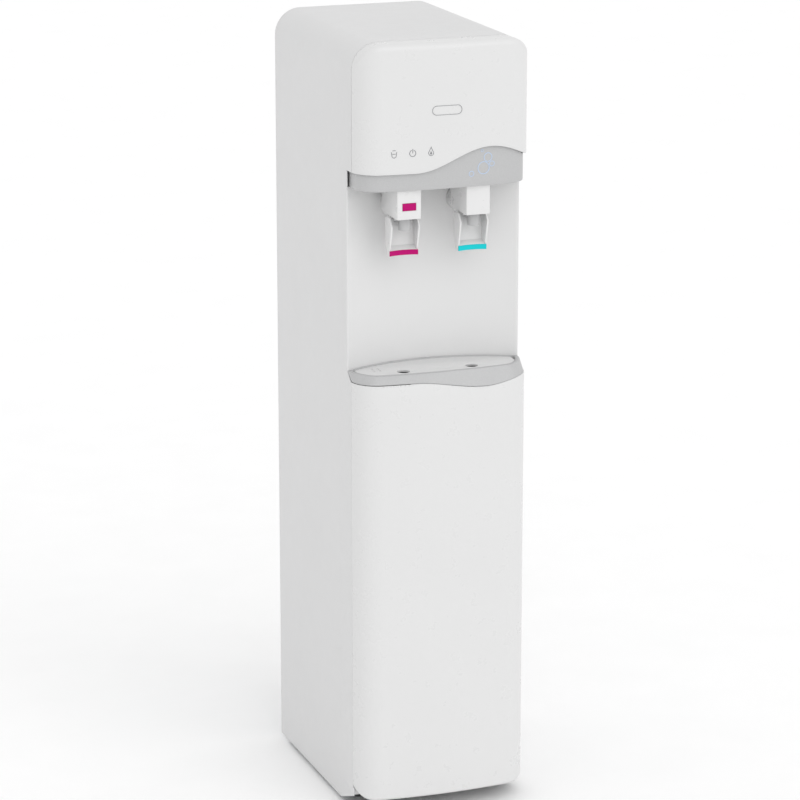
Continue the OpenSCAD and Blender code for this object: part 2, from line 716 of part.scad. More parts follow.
module condenser_coil() {
    color("black") {
        for (z = condenser_z) rod([-92, condenser_y, z], [92, condenser_y, z], 2.4);
        for (i = [0:9]) let (s = i % 2 == 0 ? 1 : -1) translate([s * 92, condenser_y, condenser_z[i] + 30])
            rotate([90, 0, 0]) rotate([0, 0, s > 0 ? -90 : 90]) rotate_extrude(angle = 180)
                translate([30, 0]) circle(2.4, $fn = 20);
        for (x = [-87, 87], z = [370, 910])
            block(x - 3, x + 3, panel_y + sheet, condenser_y - 1, z - 5, z + 5);
    }
}
module condenser_wires() {
    color("black") for (x = [-84:14:84]) rod([x, condenser_y + 3.1, 362], [x, condenser_y + 3.1, 978], 0.8);
}
module refrigerant_lines() {
    color("peru") {
        pipe([[0, 75, 190], [0, 75, 230], [-110, 75, 230], [-110, 150, 230], [-110, 150, 345],
            [-110, condenser_y, 345], [-110, condenser_y, 370], [-93, condenser_y, 370]], 2.4);
        pipe([[93, condenser_y, 970], [110, condenser_y, 970], [110, 140, 970], [110, 140, 300],
            [112, 126, 300]], 2.4);
        translate([112, 126, 300]) cylinder(h = 60, r = 6);
        pipe([[112, 126, 359], [112, 126, 700], [88.6, 109.4, 700]], 1.6);
        pipe([[-20, 25, 190], [-20, 25, 350], [-95, 25, 350], [-95, 100, 350], [-95, 100, 640],
            [-113, -55, 640], [-113, -55, 700], [-81.2, -26.6, 700]], 3);
    }
}

// ---- filters and water ----
filter_x = [-76, 0, 76];
filter_y = -112;
module filter_manifold() {
    color("lightgray") difference() {
        union() {
            for (x = filter_x) peg(x, filter_y, 500, 36, 34);
            block(-112, 112, filter_y + 20, bulkhead_y, 506, 530);
            block(-76, 76, filter_y - 8, filter_y + 8, 533, 545);
        }
        for (x = filter_x) peg(x, filter_y, 499, 20.3, 27);
        for (x = [-38, 38]) rod([x - 25, filter_y, 539], [x + 25, filter_y, 539], 2.5);
    }
}
module cartridge(i, length) {
    difference() {
        union() {
            peg(filter_x[i], filter_y, 499.7 - length, filter_r, length);
            peg(filter_x[i], filter_y, 499, 20, 24);
            peg(filter_x[i], filter_y, 497.5 - length, filter_r - 4, 3);
        }
        for (a = [0:30:359]) translate([filter_x[i], filter_y, 505 - length])
            rotate([0, 0, a]) translate([filter_r + 1, 0, 0]) cylinder(h = 40, r = 2.4, $fn = 16);
        peg(filter_x[i], filter_y, 510, 6, 20);
    }
}
module sediment_filter() { color("white") cartridge(0, 290); }
module carbon_filter() { color("white") cartridge(1, 290); }
module membrane_filter() { color("white") cartridge(2, 290); }
valve_x = -83;
module inlet_valve() {
    color("dimgray") {
        block(valve_x - 13, valve_x + 13, -128, -88, 556, 576);
        peg(valve_x, -108, 575, 12, 26);
        block(valve_x - 11, valve_x + 11, -89, bulkhead_y, 560, 572);
    }
}
module inlet_fitting() {
    color("royalblue") difference() {
        union() {
            rear_peg(-80, 90, panel_y - 14, panel_y + 16, 9);
            rear_peg(-80, 90, panel_y - 5, panel_y - 0.1, 12);
            rear_peg(-80, 90, panel_y + sheet + 0.1, panel_y + 6, 12);
        }
        rear_peg(-80, 90, panel_y, panel_y + 17, inlet_bore_r);
        rear_peg(-80, 90, panel_y - 15, panel_y + 1, 2);
    }
}
tube_r = 3.1;
module water_tubes() {
    color("azure") {
        // mains supply, from the rear fitting to the inlet valve
        pipe([[-80, panel_y - 14, 90], [-80, 122, 90], [-104, 122, 60], [-104, -90, 60], [-121.2, -90, 60],
            [-121.2, -90, 566], [valve_x - 13, -90, 566]], tube_r);
        // valve to filters
        pipe([[valve_x + 13, filter_y, 566], [-60, filter_y, 566], [-60, filter_y, 545]], tube_r);
        // filters to the cold tank's top
        pipe([[76, filter_y, 545], [76, filter_y, 560], [104, filter_y, 560], [104, -56, 560],
            [110, -55, 640], [110, -55, 1010], [45, tank_y, 1010], [45, tank_y, 969.5]], tube_r);
        // cold tank to hot tank
        pipe([[0, tank_y, 700.5], [0, tank_y, 640], [34, 50, 625], [34, 50, 589.5]], tube_r);
        // cold tank to cold tap
        pipe([[tap_x(1), bulkhead_y - 6, shank_z], [tap_x(1), tube_y, shank_z], [tap_x(1), tube_y, 650],
            [tap_x(1), tank_y, 650], [tap_x(1), tank_y, 700.5]], tube_r);
        // hot tank to hot tap
        pipe([[tap_x(-1), bulkhead_y - 6, shank_z], [tap_x(-1), tube_y, shank_z], [tap_x(-1), tube_y, 612],
            [60, tube_y, 612], [60, 50, 612], [60, 50, 589.5]], tube_r);
        // tanks to the drain spigots
        pipe([[34, 50, 400.5], [34, 50, 345], [-55, 50, 345], [-55, 110, 345], [-55, 110, 170],
            [-55, panel_y - 14, 170]], tube_r);
    }
}
module drain_spigots() {
    color("gainsboro") for (x = [-95, -55]) difference() {
        union() {
            rear_peg(x, 170, panel_y - 14, panel_y + 14, 6);
            rear_peg(x, 170, panel_y - 4, panel_y - 0.1, 8.9);
            rear_peg(x, 170, panel_y - 0.2, panel_y + sheet, 8);
        }
        rear_peg(x, 170, panel_y - 15, panel_y + 15, 3);
    }
}
module drain_cap(x) {
    color("dimgray") difference() {
        union() {
            rear_peg(x, 170, panel_y + 4, panel_y + 18, 9.5);
            for (a = [0:45:359]) translate([x + 9.3 * cos(a), panel_y + 18, 170 + 9.3 * sin(a)])
                rotate([90, 0, 0]) cylinder(h = 14, r = 1.2, $fn = 16);
        }
        rear_peg(x, 170, panel_y + 3, panel_y + 15, 6.3);
    }
}

module cold_drain_cap() { drain_cap(-95); }
module hot_drain_cap() { drain_cap(-55); }

// ---- electrics ----
module control_board() {
    color("seagreen") block(-78, 78, -121.7, -120.1, 978, 1048);
    color("dimgray") {
        block(-70, -40, -134, -121.7, 1000, 1028);
        for (x = [-30:18:6]) block(x, x + 14, -137, -121.7, 1005, 1024);
        for (x = [35, 50]) rear_peg(x, 1015, -141, -121.7, 6);
        for (x = [-60:22:50]) block(x, x + 16, -130, -121.7, 982, 990);
    }
}
module power_inlet() {
    color("black") difference() {
        union() {
            block(66.2, 93.8, panel_y - 18, panel_y + sheet, 60.2, 79.8);
            block(58, 102, panel_y + sheet, panel_y + 4, 56, 84);
        }
        block(68.5, 91.5, panel_y - 15, panel_y + 5, 62.5, 77.5);
    }
    color("black") for (x = [73, 80, 87]) {
        z = x == 80 ? 71 : 67;
        block(x - 1, x + 1, panel_y - 16, panel_y - 1, z, z + 4);
    }
}
module switch_bezel() {
    color("black") difference() {
        union() {
            block(56.2, 103.8, panel_y - 14, panel_y + sheet, 130.2, 153.8);
            block(53, 107, panel_y + sheet, panel_y + 3.5, 127, 157);
        }
        for (x = rocker_x) {
            block(x - 9, x + 9, panel_y - 11, panel_y + 5, 133, 151);
            rocker_pin(x, 1.3, 1.6);
        }
    }
}
rocker_x = [68, 92];
rocker_z = 142;
rocker_y = panel_y - 3;
// Pivot pin across a rocker, or its socket, past the rocker's sides by d
module rocker_pin(x, d, r) {
    translate([x - 8.7 - d, rocker_y, rocker_z]) rotate([0, 90, 0]) cylinder(h = 17.4 + 2 * d, r = r);
}
module rocker(x) {
    difference() {
        along_x(x - 8.7, x + 8.7) polygon([[rocker_y - 5, rocker_z], [rocker_y + 3, rocker_z - 8.4],
            [rocker_y + 5, rocker_z - 8.4], [rocker_y + 6.2, rocker_z], [rocker_y + 8.6, rocker_z + 6.6],
            [rocker_y + 6.6, rocker_z + 7.2]]);
        block(x - 0.8, x + 0.8, rocker_y + 6.4, rocker_y + 9, rocker_z + 3, rocker_z + 6);
    }
    rocker_pin(x, 1, 1.5);
}
module hot_switch() { color("firebrick") rocker(rocker_x[0]); }
module cold_switch() { color("seagreen") rocker(rocker_x[1]); }
module panel_screws() {
    color("silver") for (x = [-114, 114], z = [30:205:1055]) {
        rear_peg(x, z, panel_y + sheet, panel_y + 3.4, 3.6);
        rear_peg(x, z, panel_y - 8, panel_y + sheet + 0.1, 1.4);
    }
}

cabinet_wrap();
base_pan();
levelling_feet();
rear_panel();
rear_uprights();
mid_bulkhead();
lower_shelf();
upper_shelf();
upper_frame();
upper_front_cover();
wave_trim();
bubble_inlays();
indicator_icons();
bay_panel();
tray_shelf();
drip_tray();
drip_grille();
front_door();
door_catches();
hot_tap_body();
cold_tap_body();
hot_spout();
cold_spout();
hot_lever();
cold_lever();
hot_lever_strip();
cold_lever_strip();
lever_pins();
hot_valve_stem();
cold_valve_stem();
hot_valve_spring();
cold_valve_spring();
hot_lock_button();
cold_tank();
cold_tank_jacket();
evaporator_coil();
hot_tank();
heater_band();
thermostats();
compressor();
compressor_grommets();
condenser_coil();
condenser_wires();
refrigerant_lines();
filter_manifold();
sediment_filter();
carbon_filter();
membrane_filter();
inlet_valve();
inlet_fitting();
water_tubes();
control_board();
power_inlet();
switch_bezel();
hot_switch();
cold_switch();
drain_spigots();
cold_drain_cap();
hot_drain_cap();
panel_screws();
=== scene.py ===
import json
import math

import bmesh
import bpy
from mathutils import Matrix, Vector


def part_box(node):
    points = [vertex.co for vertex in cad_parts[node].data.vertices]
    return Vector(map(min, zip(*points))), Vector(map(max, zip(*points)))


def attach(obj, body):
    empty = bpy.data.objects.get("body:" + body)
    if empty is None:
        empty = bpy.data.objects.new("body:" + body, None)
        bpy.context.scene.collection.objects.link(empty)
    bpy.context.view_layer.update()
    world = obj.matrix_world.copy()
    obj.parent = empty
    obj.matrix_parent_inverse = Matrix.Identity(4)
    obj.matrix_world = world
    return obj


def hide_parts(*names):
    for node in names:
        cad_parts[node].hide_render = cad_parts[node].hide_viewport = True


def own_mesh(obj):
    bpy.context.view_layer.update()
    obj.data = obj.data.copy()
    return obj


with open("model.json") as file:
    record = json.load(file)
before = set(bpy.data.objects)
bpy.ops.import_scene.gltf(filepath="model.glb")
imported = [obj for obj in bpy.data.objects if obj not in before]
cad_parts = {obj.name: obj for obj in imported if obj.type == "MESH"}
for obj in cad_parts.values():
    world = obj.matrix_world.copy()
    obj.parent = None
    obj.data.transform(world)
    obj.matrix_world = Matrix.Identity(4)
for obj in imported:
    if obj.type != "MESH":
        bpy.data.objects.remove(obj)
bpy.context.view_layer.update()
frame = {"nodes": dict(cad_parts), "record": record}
MM = 0.001


def box_mm(node):
    lo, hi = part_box(node)
    return [c / MM for c in lo], [c / MM for c in hi]


# ---- sizes in millimetres: the boxes come from the CAD nodes, the rest repeats the CAD's own numbers ----
WRAP_LO, WRAP_HI = box_mm("cabinet_wrap")
DOOR_LO = box_mm("front_door")[0]
HALF_W = WRAP_HI[0]
CABINET_H = WRAP_HI[2]
FOOT_GAP = WRAP_LO[2]
Y_BACK = WRAP_HI[1]
Y_FRONT = DOOR_LO[1]
SHEET = 1.2  # steel sheet
WALL = 2.5  # moulded plastic

# the front's plan: a shallow crown between two round vertical edges
EDGE_R = 38.0
CROWN_R = 800.0
CORNER_X = HALF_W - EDGE_R
CORNER_Y = Y_FRONT + CROWN_R - math.sqrt((CROWN_R - EDGE_R) ** 2 - CORNER_X ** 2)

# the wrap's top corners, its front edge, and its cut-backs beside the trim, the bay and the toe
TOP_R = 38.0
SEAM_Y = Y_FRONT + 38.5
TRIM_END_Y = Y_FRONT + 58
NOTCH_Y = Y_FRONT + 61
TOE_Y = Y_FRONT + 93

# the cover's wavy lower edge: its lowest z, its rise, and where it crests
WAVE_LOW, WAVE_RISE, WAVE_X, WAVE_REACH = 929, 31, 62, 110
TRIM_INSET = 4.5

# the door, whose wavy upper edge is level, dips between two x, and lifts again
DOOR_BACK = Y_FRONT + 41.5
DOOR_BASE = DOOR_LO[2]
DOOR_CORNER_R = 20.0
DOOR_GAP = 0.35
DOOR_TOP, DOOR_DIP, DIP_START, DIP_END = 635.3, 12.5, -50, 60
DOOR_LIFT, LIFT_REACH = 9.5, 70

# the concave bay, and the tray at its foot
BAY_TOP = 905.0
BAY_R = 245.0
BAY_MID_Y = Y_FRONT + 94.5 - BAY_R
TRAY_RIM = box_mm("drip_tray")[1][2]
TRAY_LEDGE = TRAY_RIM - 5
TRAY_BASE = 614.0
BOWL_FLOOR = 616.5
TIP_Y = -125.0
GRILLE_INSET = 4.45

# the taps and their levers
TAP_X = {"hot": -53.25, "cold": 47.25}
TAP_W = 34.5
TAP_BASE = 864.0
TAP_FRONT = Y_FRONT + 11.5
BOSS_Y = Y_FRONT + 73.5
SHANK_Z = 873.0
SPOUT_Y = Y_FRONT + 30.5
PIVOT_Y = SPOUT_Y - 12
PLATE_TOP = 855.5
PADDLE_W = 42.0
PADDLE_R = 58.8
PADDLE_MID_Y = SPOUT_Y - 52
STRIP_Z = 810.0
STRIP_H = 7.1


def bump(x, mid, reach):
    """A smooth hill, 1 at mid and 0 from reach away."""
    return (1 + math.cos(math.pi * min(abs(x - mid) / reach, 1))) / 2


def wave_z(x):
    """The cover's lower edge."""
    return WAVE_LOW + WAVE_RISE * bump(x, WAVE_X, WAVE_REACH)


def door_z(x):
    """The tray's lower edge, which the door's upper edge follows."""
    dip = 1 - bump(max(min(x, DIP_END), DIP_START), DIP_START, DIP_END - DIP_START)
    lift = 1 - bump(max(x, DIP_END), DIP_END, LIFT_REACH)
    return DOOR_TOP - DOOR_DIP * dip + DOOR_LIFT * lift


def bay_y(x, r=BAY_R):
    """The concave face of the bay."""
    return BAY_MID_Y + math.sqrt(r * r - x * x)


def plan_y(x, t=0.0):
    """Y of the front skin at inset t: a shallow crown between two round edges."""
    limit = CORNER_X + (EDGE_R - t)
    x = max(-limit, min(limit, x))
    crown_edge = CORNER_X * (CROWN_R - t) / (CROWN_R - EDGE_R)
    if abs(x) <= crown_edge:
        return Y_FRONT + CROWN_R - math.sqrt((CROWN_R - t) ** 2 - x * x)
    return CORNER_Y - math.sqrt(max((EDGE_R - t) ** 2 - (abs(x) - CORNER_X) ** 2, 0))


def front_path(t, corner=20, crown=36):
    """Points (x, y) of the front skin at inset t, from the left side to the right side."""
    r = EDGE_R - t
    tip = math.atan2(CORNER_Y - Y_FRONT - CROWN_R, CORNER_X)
    end = -math.pi - tip
    out = []
    for i in range(corner + 1):
        a = -math.pi + (end + math.pi) * i / corner
        out.append((-CORNER_X + r * math.cos(a), CORNER_Y + r * math.sin(a)))
    for i in range(1, crown):
        a = end + (tip - end) * i / crown
        out.append(((CROWN_R - t) * math.cos(a), Y_FRONT + CROWN_R + (CROWN_R - t) * math.sin(a)))
    for i in range(corner + 1):
        a = tip - tip * i / corner
        out.append((CORNER_X + r * math.cos(a), CORNER_Y + r * math.sin(a)))
    return out


# ---- mesh helpers ----
class Build:
    """Collects points and faces in millimetres."""

    def __init__(self):
        self.v = []
        self.f = []

    def grid(self, rows, close=False):
        base = len(self.v)
        n = len(rows[0])
        for r in rows:
            self.v.extend(r)
        m = len(rows)
        for i in range(m if close else m - 1):
            for j in range(n - 1):
                a, b = base + i * n + j, base + ((i + 1) % m) * n + j
                self.f.append((a, a + 1, b + 1, b))

    def face(self, points):
        base = len(self.v)
        self.v.extend(points)
        self.f.append(tuple(range(base, base + len(points))))

    def tube(self, rows):
        """A grid of closed rows, each ending on its first point, with both ends capped."""
        self.grid(rows)
        self.face(rows[0][:-1])
        self.face(rows[-1][:-1][::-1])


def in_scene(name, data):
    ob = bpy.data.objects.new(name, data)
    bpy.context.scene.collection.objects.link(ob)
    return ob


def raw_object(name, verts, faces, merge=0.01):
    """An object from points in millimetres; points closer than merge become one."""
    me = bpy.data.meshes.new(name)
    me.from_pydata([Vector(p) * MM for p in verts], [], faces)
    bm = bmesh.new()
    bm.from_mesh(me)
    bmesh.ops.remove_doubles(bm, verts=bm.verts, dist=merge * MM)
    bmesh.ops.dissolve_degenerate(bm, edges=bm.edges, dist=merge * MM / 2)
    bmesh.ops.recalc_face_normals(bm, faces=bm.faces)
    bm.to_mesh(me)
    bm.free()
    return in_scene(name, me)


def face_towards(ob, way):
    """Turns an open shell's faces so that they look, on the whole, along way."""
    total = sum((p.normal * p.area for p in ob.data.polygons), Vector())
    if total.dot(Vector(way)) < 0:
        ob.data.flip_normals()


def modify(ob, kind, **facts):
    m = ob.modifiers.new(kind, kind)
    for k, v in facts.items():
        setattr(m, k, v)
    return m


def bake(ob):
    """Puts the modifiers' result in the mesh."""
    dg = bpy.context.evaluated_depsgraph_get()
    me = bpy.data.meshes.new_from_object(ob.evaluated_get(dg))
    ob.modifiers.clear()
    ob.data = me
    return ob


def soften(ob, width, segments=2, angle=32):
    """Rounds the edges sharper than angle."""
    modify(ob, "BEVEL", width=width * MM, segments=segments, limit_method="ANGLE",
           angle_limit=math.radians(angle), use_clamp_overlap=True, miter_outer="MITER_ARC")
    return bake(ob)


def shell(ob, thick, way, edge):
    """Gives an open surface a wall behind it, with softened edges."""
    face_towards(ob, way)
    modify(ob, "SOLIDIFY", thickness=thick * MM, offset=-1, use_even_offset=True)
    bake(ob)
    return soften(ob, edge)


def join(name, *obs):
    bm = bmesh.new()
    for o in obs:
        bm.from_mesh(o.data)
    me = bpy.data.meshes.new(name)
    bm.to_mesh(me)
    bm.free()
    for o in obs:
        bpy.data.objects.remove(o)
    return in_scene(name, me)


def cut(ob, tool, operation="DIFFERENCE"):
    modify(ob, "BOOLEAN", object=tool, operation=operation, solver="EXACT")
    bake(ob)
    bpy.data.objects.remove(tool)
    return ob


def block(name, lo, hi, edge=0.0, segments=2):
    x0, y0, z0 = lo
    x1, y1, z1 = hi
    v = [(x, y, z) for x in (x0, x1) for y in (y0, y1) for z in (z0, z1)]
    f = [(0, 1, 3, 2), (4, 6, 7, 5), (0, 4, 5, 1), (2, 3, 7, 6), (0, 2, 6, 4), (1, 5, 7, 3)]
    ob = raw_object(name, v, f)
    return soften(ob, edge, segments) if edge else ob


def lathe(name, profile, at, axis="Z", steps=64):
    """Turns a closed (radius, height) profile about the Y or Z axis through at."""
    b = Build()
    rows = []
    for i in range(steps):
        a = 2 * math.pi * i / steps
        c, s = math.cos(a), math.sin(a)
        row = []
        for r, h in list(profile) + [profile[0]]:
            p = (r * c, r * s, h) if axis == "Z" else (r * c, h, r * s)
            row.append((p[0] + at[0], p[1] + at[1], p[2] + at[2]))
        rows.append(row)
    b.grid(rows, close=True)
    return raw_object(name, b.v, b.f, 0.001)


def disc_profile(r, low, high, edge=0.5, bore=0.0):
    """Outline of a turned disc with eased edges, as (radius, height)."""
    k = edge * 0.3
    return [(bore, low), (r - edge, low), (r - k, low + k), (r, low + edge), (r, high - edge),
            (r - k, high - k), (r - edge, high), (bore, high)]


def plate(name, outlines, thick, edge=0.25, res=3):
    """Flat plate from closed outlines (x, y) in mm, holes included. Its faces are at z 0 and thick."""
    cu = bpy.data.curves.new(name, "CURVE")
    cu.dimensions = "2D"
    cu.fill_mode = "BOTH"
    cu.extrude = (thick / 2 - edge) * MM
    cu.bevel_depth = edge * MM
    cu.bevel_resolution = res
    cu.offset = -edge * MM
    for pts in outlines:
        sp = cu.splines.new("POLY")
        sp.points.add(len(pts) - 1)
        for q, p in zip(sp.points, pts):
            q.co = (p[0] * MM, p[1] * MM, 0, 1)
        sp.use_cyclic_u = True
    tmp = in_scene(name, cu)
    dg = bpy.context.evaluated_depsgraph_get()
    me = bpy.data.meshes.new_from_object(tmp.evaluated_get(dg))
    bpy.data.objects.remove(tmp)
    me.transform(Matrix.Translation((0, 0, thick / 2 * MM)))
    bm = bmesh.new()
    bm.from_mesh(me)
    bmesh.ops.remove_doubles(bm, verts=bm.verts, dist=0.003 * MM)
    bmesh.ops.recalc_face_normals(bm, faces=bm.faces)
    bm.to_mesh(me)
    bm.free()
    return in_scene(name, me)


def circle(r, n=40, cx=0.0, cy=0.0, start=0.0, end=360.0):
    """Points on an arc in n steps, in degrees; a whole circle doesn't repeat its first point."""
    count = n if end - start >= 360 else n + 1
    angles = [math.radians(start + (end - start) * i / n) for i in range(count)]
    return [(cx + r * math.cos(a), cy + r * math.sin(a)) for a in angles]


def place(ob, matrix):
    ob.data.transform(matrix)
    return ob


def along_x(ob, x0):
    """Stands a plate so that its outline (x, y) becomes (y, z), with its thickness from x0."""
    m = Matrix(((0, 0, 1, x0 * MM), (1, 0, 0, 0), (0, 1, 0, 0), (0, 0, 0, 1)))
    return place(ob, m)


def on_front(ob, x, z, t):
    """Lays a plate on the front skin at inset t, its thickness outwards."""
    m = (Matrix.Translation((x * MM, plan_y(x, t) * MM, z * MM))
         @ Matrix.Rotation(math.asin(x / CROWN_R), 4, "Z") @ Matrix.Rotation(math.pi / 2, 4, "X"))
    return place(ob, m)


# ---- materials ----
class Nodes:
    """Shortcuts for building one procedural material."""

    def __init__(self, name):
        self.m = bpy.data.materials.new(name)
        self.m.use_nodes = True
        self.t = self.m.node_tree
        self.bsdf = self.t.nodes["Principled BSDF"]
        self.coord = self.t.nodes.new("ShaderNodeTexCoord").outputs["Object"]

    def add(self, kind, inputs=None, **facts):
        n = self.t.nodes.new(kind)
        for k, v in facts.items():
            setattr(n, k, v)
        for k, v in (inputs or {}).items():
            if isinstance(v, bpy.types.NodeSocket):
                self.t.links.new(v, n.inputs[k])
            else:
                n.inputs[k].default_value = v
        return n

    def scaled(self, sx, sy, sz):
        return self.add("ShaderNodeMapping", {"Vector": self.coord, "Scale": (sx, sy, sz)}).outputs[0]

    def noise(self, scale, detail=3.0, rough=0.5, vector=None):
        n = self.add("ShaderNodeTexNoise", {"Scale": scale, "Detail": detail, "Roughness": rough,
                                            "Vector": vector or self.coord})
        return n.outputs["Fac"]

    def cells(self, scale, feature="F1", vector=None):
        inputs = {"Scale": scale, "Vector": vector or self.coord}
        return self.add("ShaderNodeTexVoronoi", inputs, feature=feature)

    def remap(self, value, a, b, c=0.0, d=1.0):
        """Takes a..b to c..d."""
        return self.add("ShaderNodeMapRange", {0: value, 1: a, 2: b, 3: c, 4: d}).outputs[0]

    def mix(self, fac, one, two):
        n = self.add("ShaderNodeMix", data_type="RGBA")
        for k, v in ((0, fac), (6, one), (7, two)):
            if isinstance(v, bpy.types.NodeSocket):
                self.t.links.new(v, n.inputs[k])
            else:
                n.inputs[k].default_value = v if k == 0 else (*v[:3], 1)
        return n.outputs[2]

    def bump(self, height, strength, distance, normal=None):
        inputs = {"Height": height, "Strength": strength, "Distance": distance}
        if normal:
            inputs["Normal"] = normal
        return self.add("ShaderNodeBump", inputs).outputs[0]

    def set(self, **sockets):
        for k, v in sockets.items():
            key = k.replace("_", " ")
            if isinstance(v, bpy.types.NodeSocket):
                self.t.links.new(v, self.bsdf.inputs[key])
            elif key.endswith("Color"):
                self.bsdf.inputs[key].default_value = (*v, 1)
            else:
                self.bsdf.inputs[key].default_value = v


DRIFT_SCALE = 7.0
SMEAR_SCALE = 38.0
GRAIN_STEP = 0.0004
GLOSS_DRIFT = 0.06
COAT_ROUGH = 0.12


def shade(c, k):
    return tuple(min(x * k, 1.0) for x in c)


def finish_of(name, colour, rough, metal=0.0, grain=900.0, depth=0.05, drift=0.03, coat=0.0,
              wear=None, extra=None):
    """A moulded or painted finish: slow colour drift, uneven gloss and fine grain.

    wear is the scale and the colour of faint handling marks, and extra a function that adds to the finish.
    """
    n = Nodes(name)
    slow = n.noise(DRIFT_SCALE, 4.0)
    base = n.mix(n.remap(slow, 0.3, 0.7), shade(colour, 1 - drift), shade(colour, 1 + drift))
    fine = n.noise(grain, 2.0, 0.6)
    smear = n.noise(SMEAR_SCALE, 5.0, 0.65)
    gloss = n.remap(smear, 0.25, 0.75, rough - GLOSS_DRIFT, rough + GLOSS_DRIFT)
    normal = n.bump(fine, depth, GRAIN_STEP)
    if extra:
        base, gloss, normal = extra(n, base, gloss, normal, colour, rough)
    if wear:
        scale, mark = wear
        line = n.cells(scale, "DISTANCE_TO_EDGE").outputs["Distance"]
        spots = n.remap(n.noise(scale * 0.6, 6.0, 0.7), 0.66, 0.78)
        base = n.mix(spots, base, mark)
        dull = n.remap(line, 0.0, 0.02, 0.05, 0.0)
        gloss = n.add("ShaderNodeMath", {0: gloss, 1: dull}, operation="ADD").outputs[0]
    n.set(Base_Color=base, Roughness=gloss, Normal=normal, Metallic=metal)
    if coat:
        n.set(Coat_Weight=coat, Coat_Roughness=COAT_ROUGH)
    n.m.diffuse_color = (*colour, 1)
    return n.m


# Extras for finish_of. Each takes a finish's base colour, gloss and normal, and gives back its own.
def flakes(n, base, gloss, normal, colour, rough):
    """Metallic paint: small bright flakes under the lacquer."""
    cell = n.cells(1500.0)
    tone = n.add("ShaderNodeSeparateColor", {0: cell.outputs["Color"]}).outputs[0]
    base = n.mix(n.remap(tone, 0.0, 1.0, 0.0, 0.35), base, shade(colour, 1.25))
    return base, gloss, n.bump(tone, 0.06, 0.0002, normal)


def spangle(n, base, gloss, normal, colour, rough):
    """Zinc crystals, each with its own tone and gloss."""
    ripple = n.add("ShaderNodeTexNoise", {"Vector": n.coord, "Scale": 60.0}).outputs["Color"]
    bent = n.add("ShaderNodeMix", {0: 0.02, 4: n.coord, 5: ripple}, data_type="VECTOR").outputs[1]
    cell = n.cells(75.0, vector=bent)
    tone = n.add("ShaderNodeSeparateColor", {0: cell.outputs["Color"]}).outputs[0]
    base = n.mix(tone, shade(colour, 0.82), shade(colour, 1.12))
    gloss = n.remap(tone, 0.0, 1.0, rough - 0.12, rough + 0.12)
    return base, gloss, n.bump(n.noise(240.0, 4.0), 0.08, 0.0003, normal)


def brushed(n, base, gloss, normal, colour, rough):
    """Fine lines round the body, as rolled stainless or ground steel has."""
    lines = n.noise(160.0, 4.0, 0.7, n.scaled(0.6, 0.6, 40.0))
    base = n.mix(n.remap(lines, 0.3, 0.7), shade(colour, 0.88), shade(colour, 1.08))
    gloss = n.remap(lines, 0.3, 0.7, rough - 0.08, rough + 0.1)
    return base, gloss, n.bump(lines, 0.12, 0.0002, normal)


def tarnish(n, base, gloss, normal, colour, rough):
    """Copper that has browned in patches."""
    patch = n.remap(n.noise(45.0, 6.0, 0.7), 0.42, 0.68)
    base = n.mix(patch, base, (0.28, 0.12, 0.06))
    return base, n.remap(patch, 0.0, 1.0, rough, rough + 0.25), normal


def beads(n, base, gloss, normal, colour, rough):
    """Expanded foam: pressed beads with shallow seams between them."""
    edge = n.cells(260.0, "DISTANCE_TO_EDGE").outputs["Distance"]
    seam = n.remap(edge, 0.0, 0.08, 0.0, 1.0)
    base = n.mix(seam, shade(colour, 0.80), base)
    return base, gloss, n.bump(seam, 0.5, 0.0006, normal)


def tracks(n, base, gloss, normal, colour, rough):
    """Printed circuit: copper tracks under the green mask."""
    grid = n.add("ShaderNodeTexBrick", {"Vector": n.coord, "Scale": 90.0, "Mortar Size": 0.03,
                                        "Color1": (0, 0, 0, 1), "Color2": (0.5, 0.5, 0.5, 1),
                                        "Mortar": (1, 1, 1, 1)}).outputs["Fac"]
    base = n.mix(grid, base, (0.12, 0.36, 0.16))
    return base, gloss, n.bump(grid, 0.3, 0.0002, normal)


def dusty(n, base, gloss, normal, colour, rough):
    """Settled dust in broad patches on a dark part."""
    film = n.remap(n.noise(22.0, 6.0, 0.7), 0.45, 0.75, 0.0, 0.35)
    base = n.mix(film, base, (0.30, 0.29, 0.27))
    return base, gloss, normal


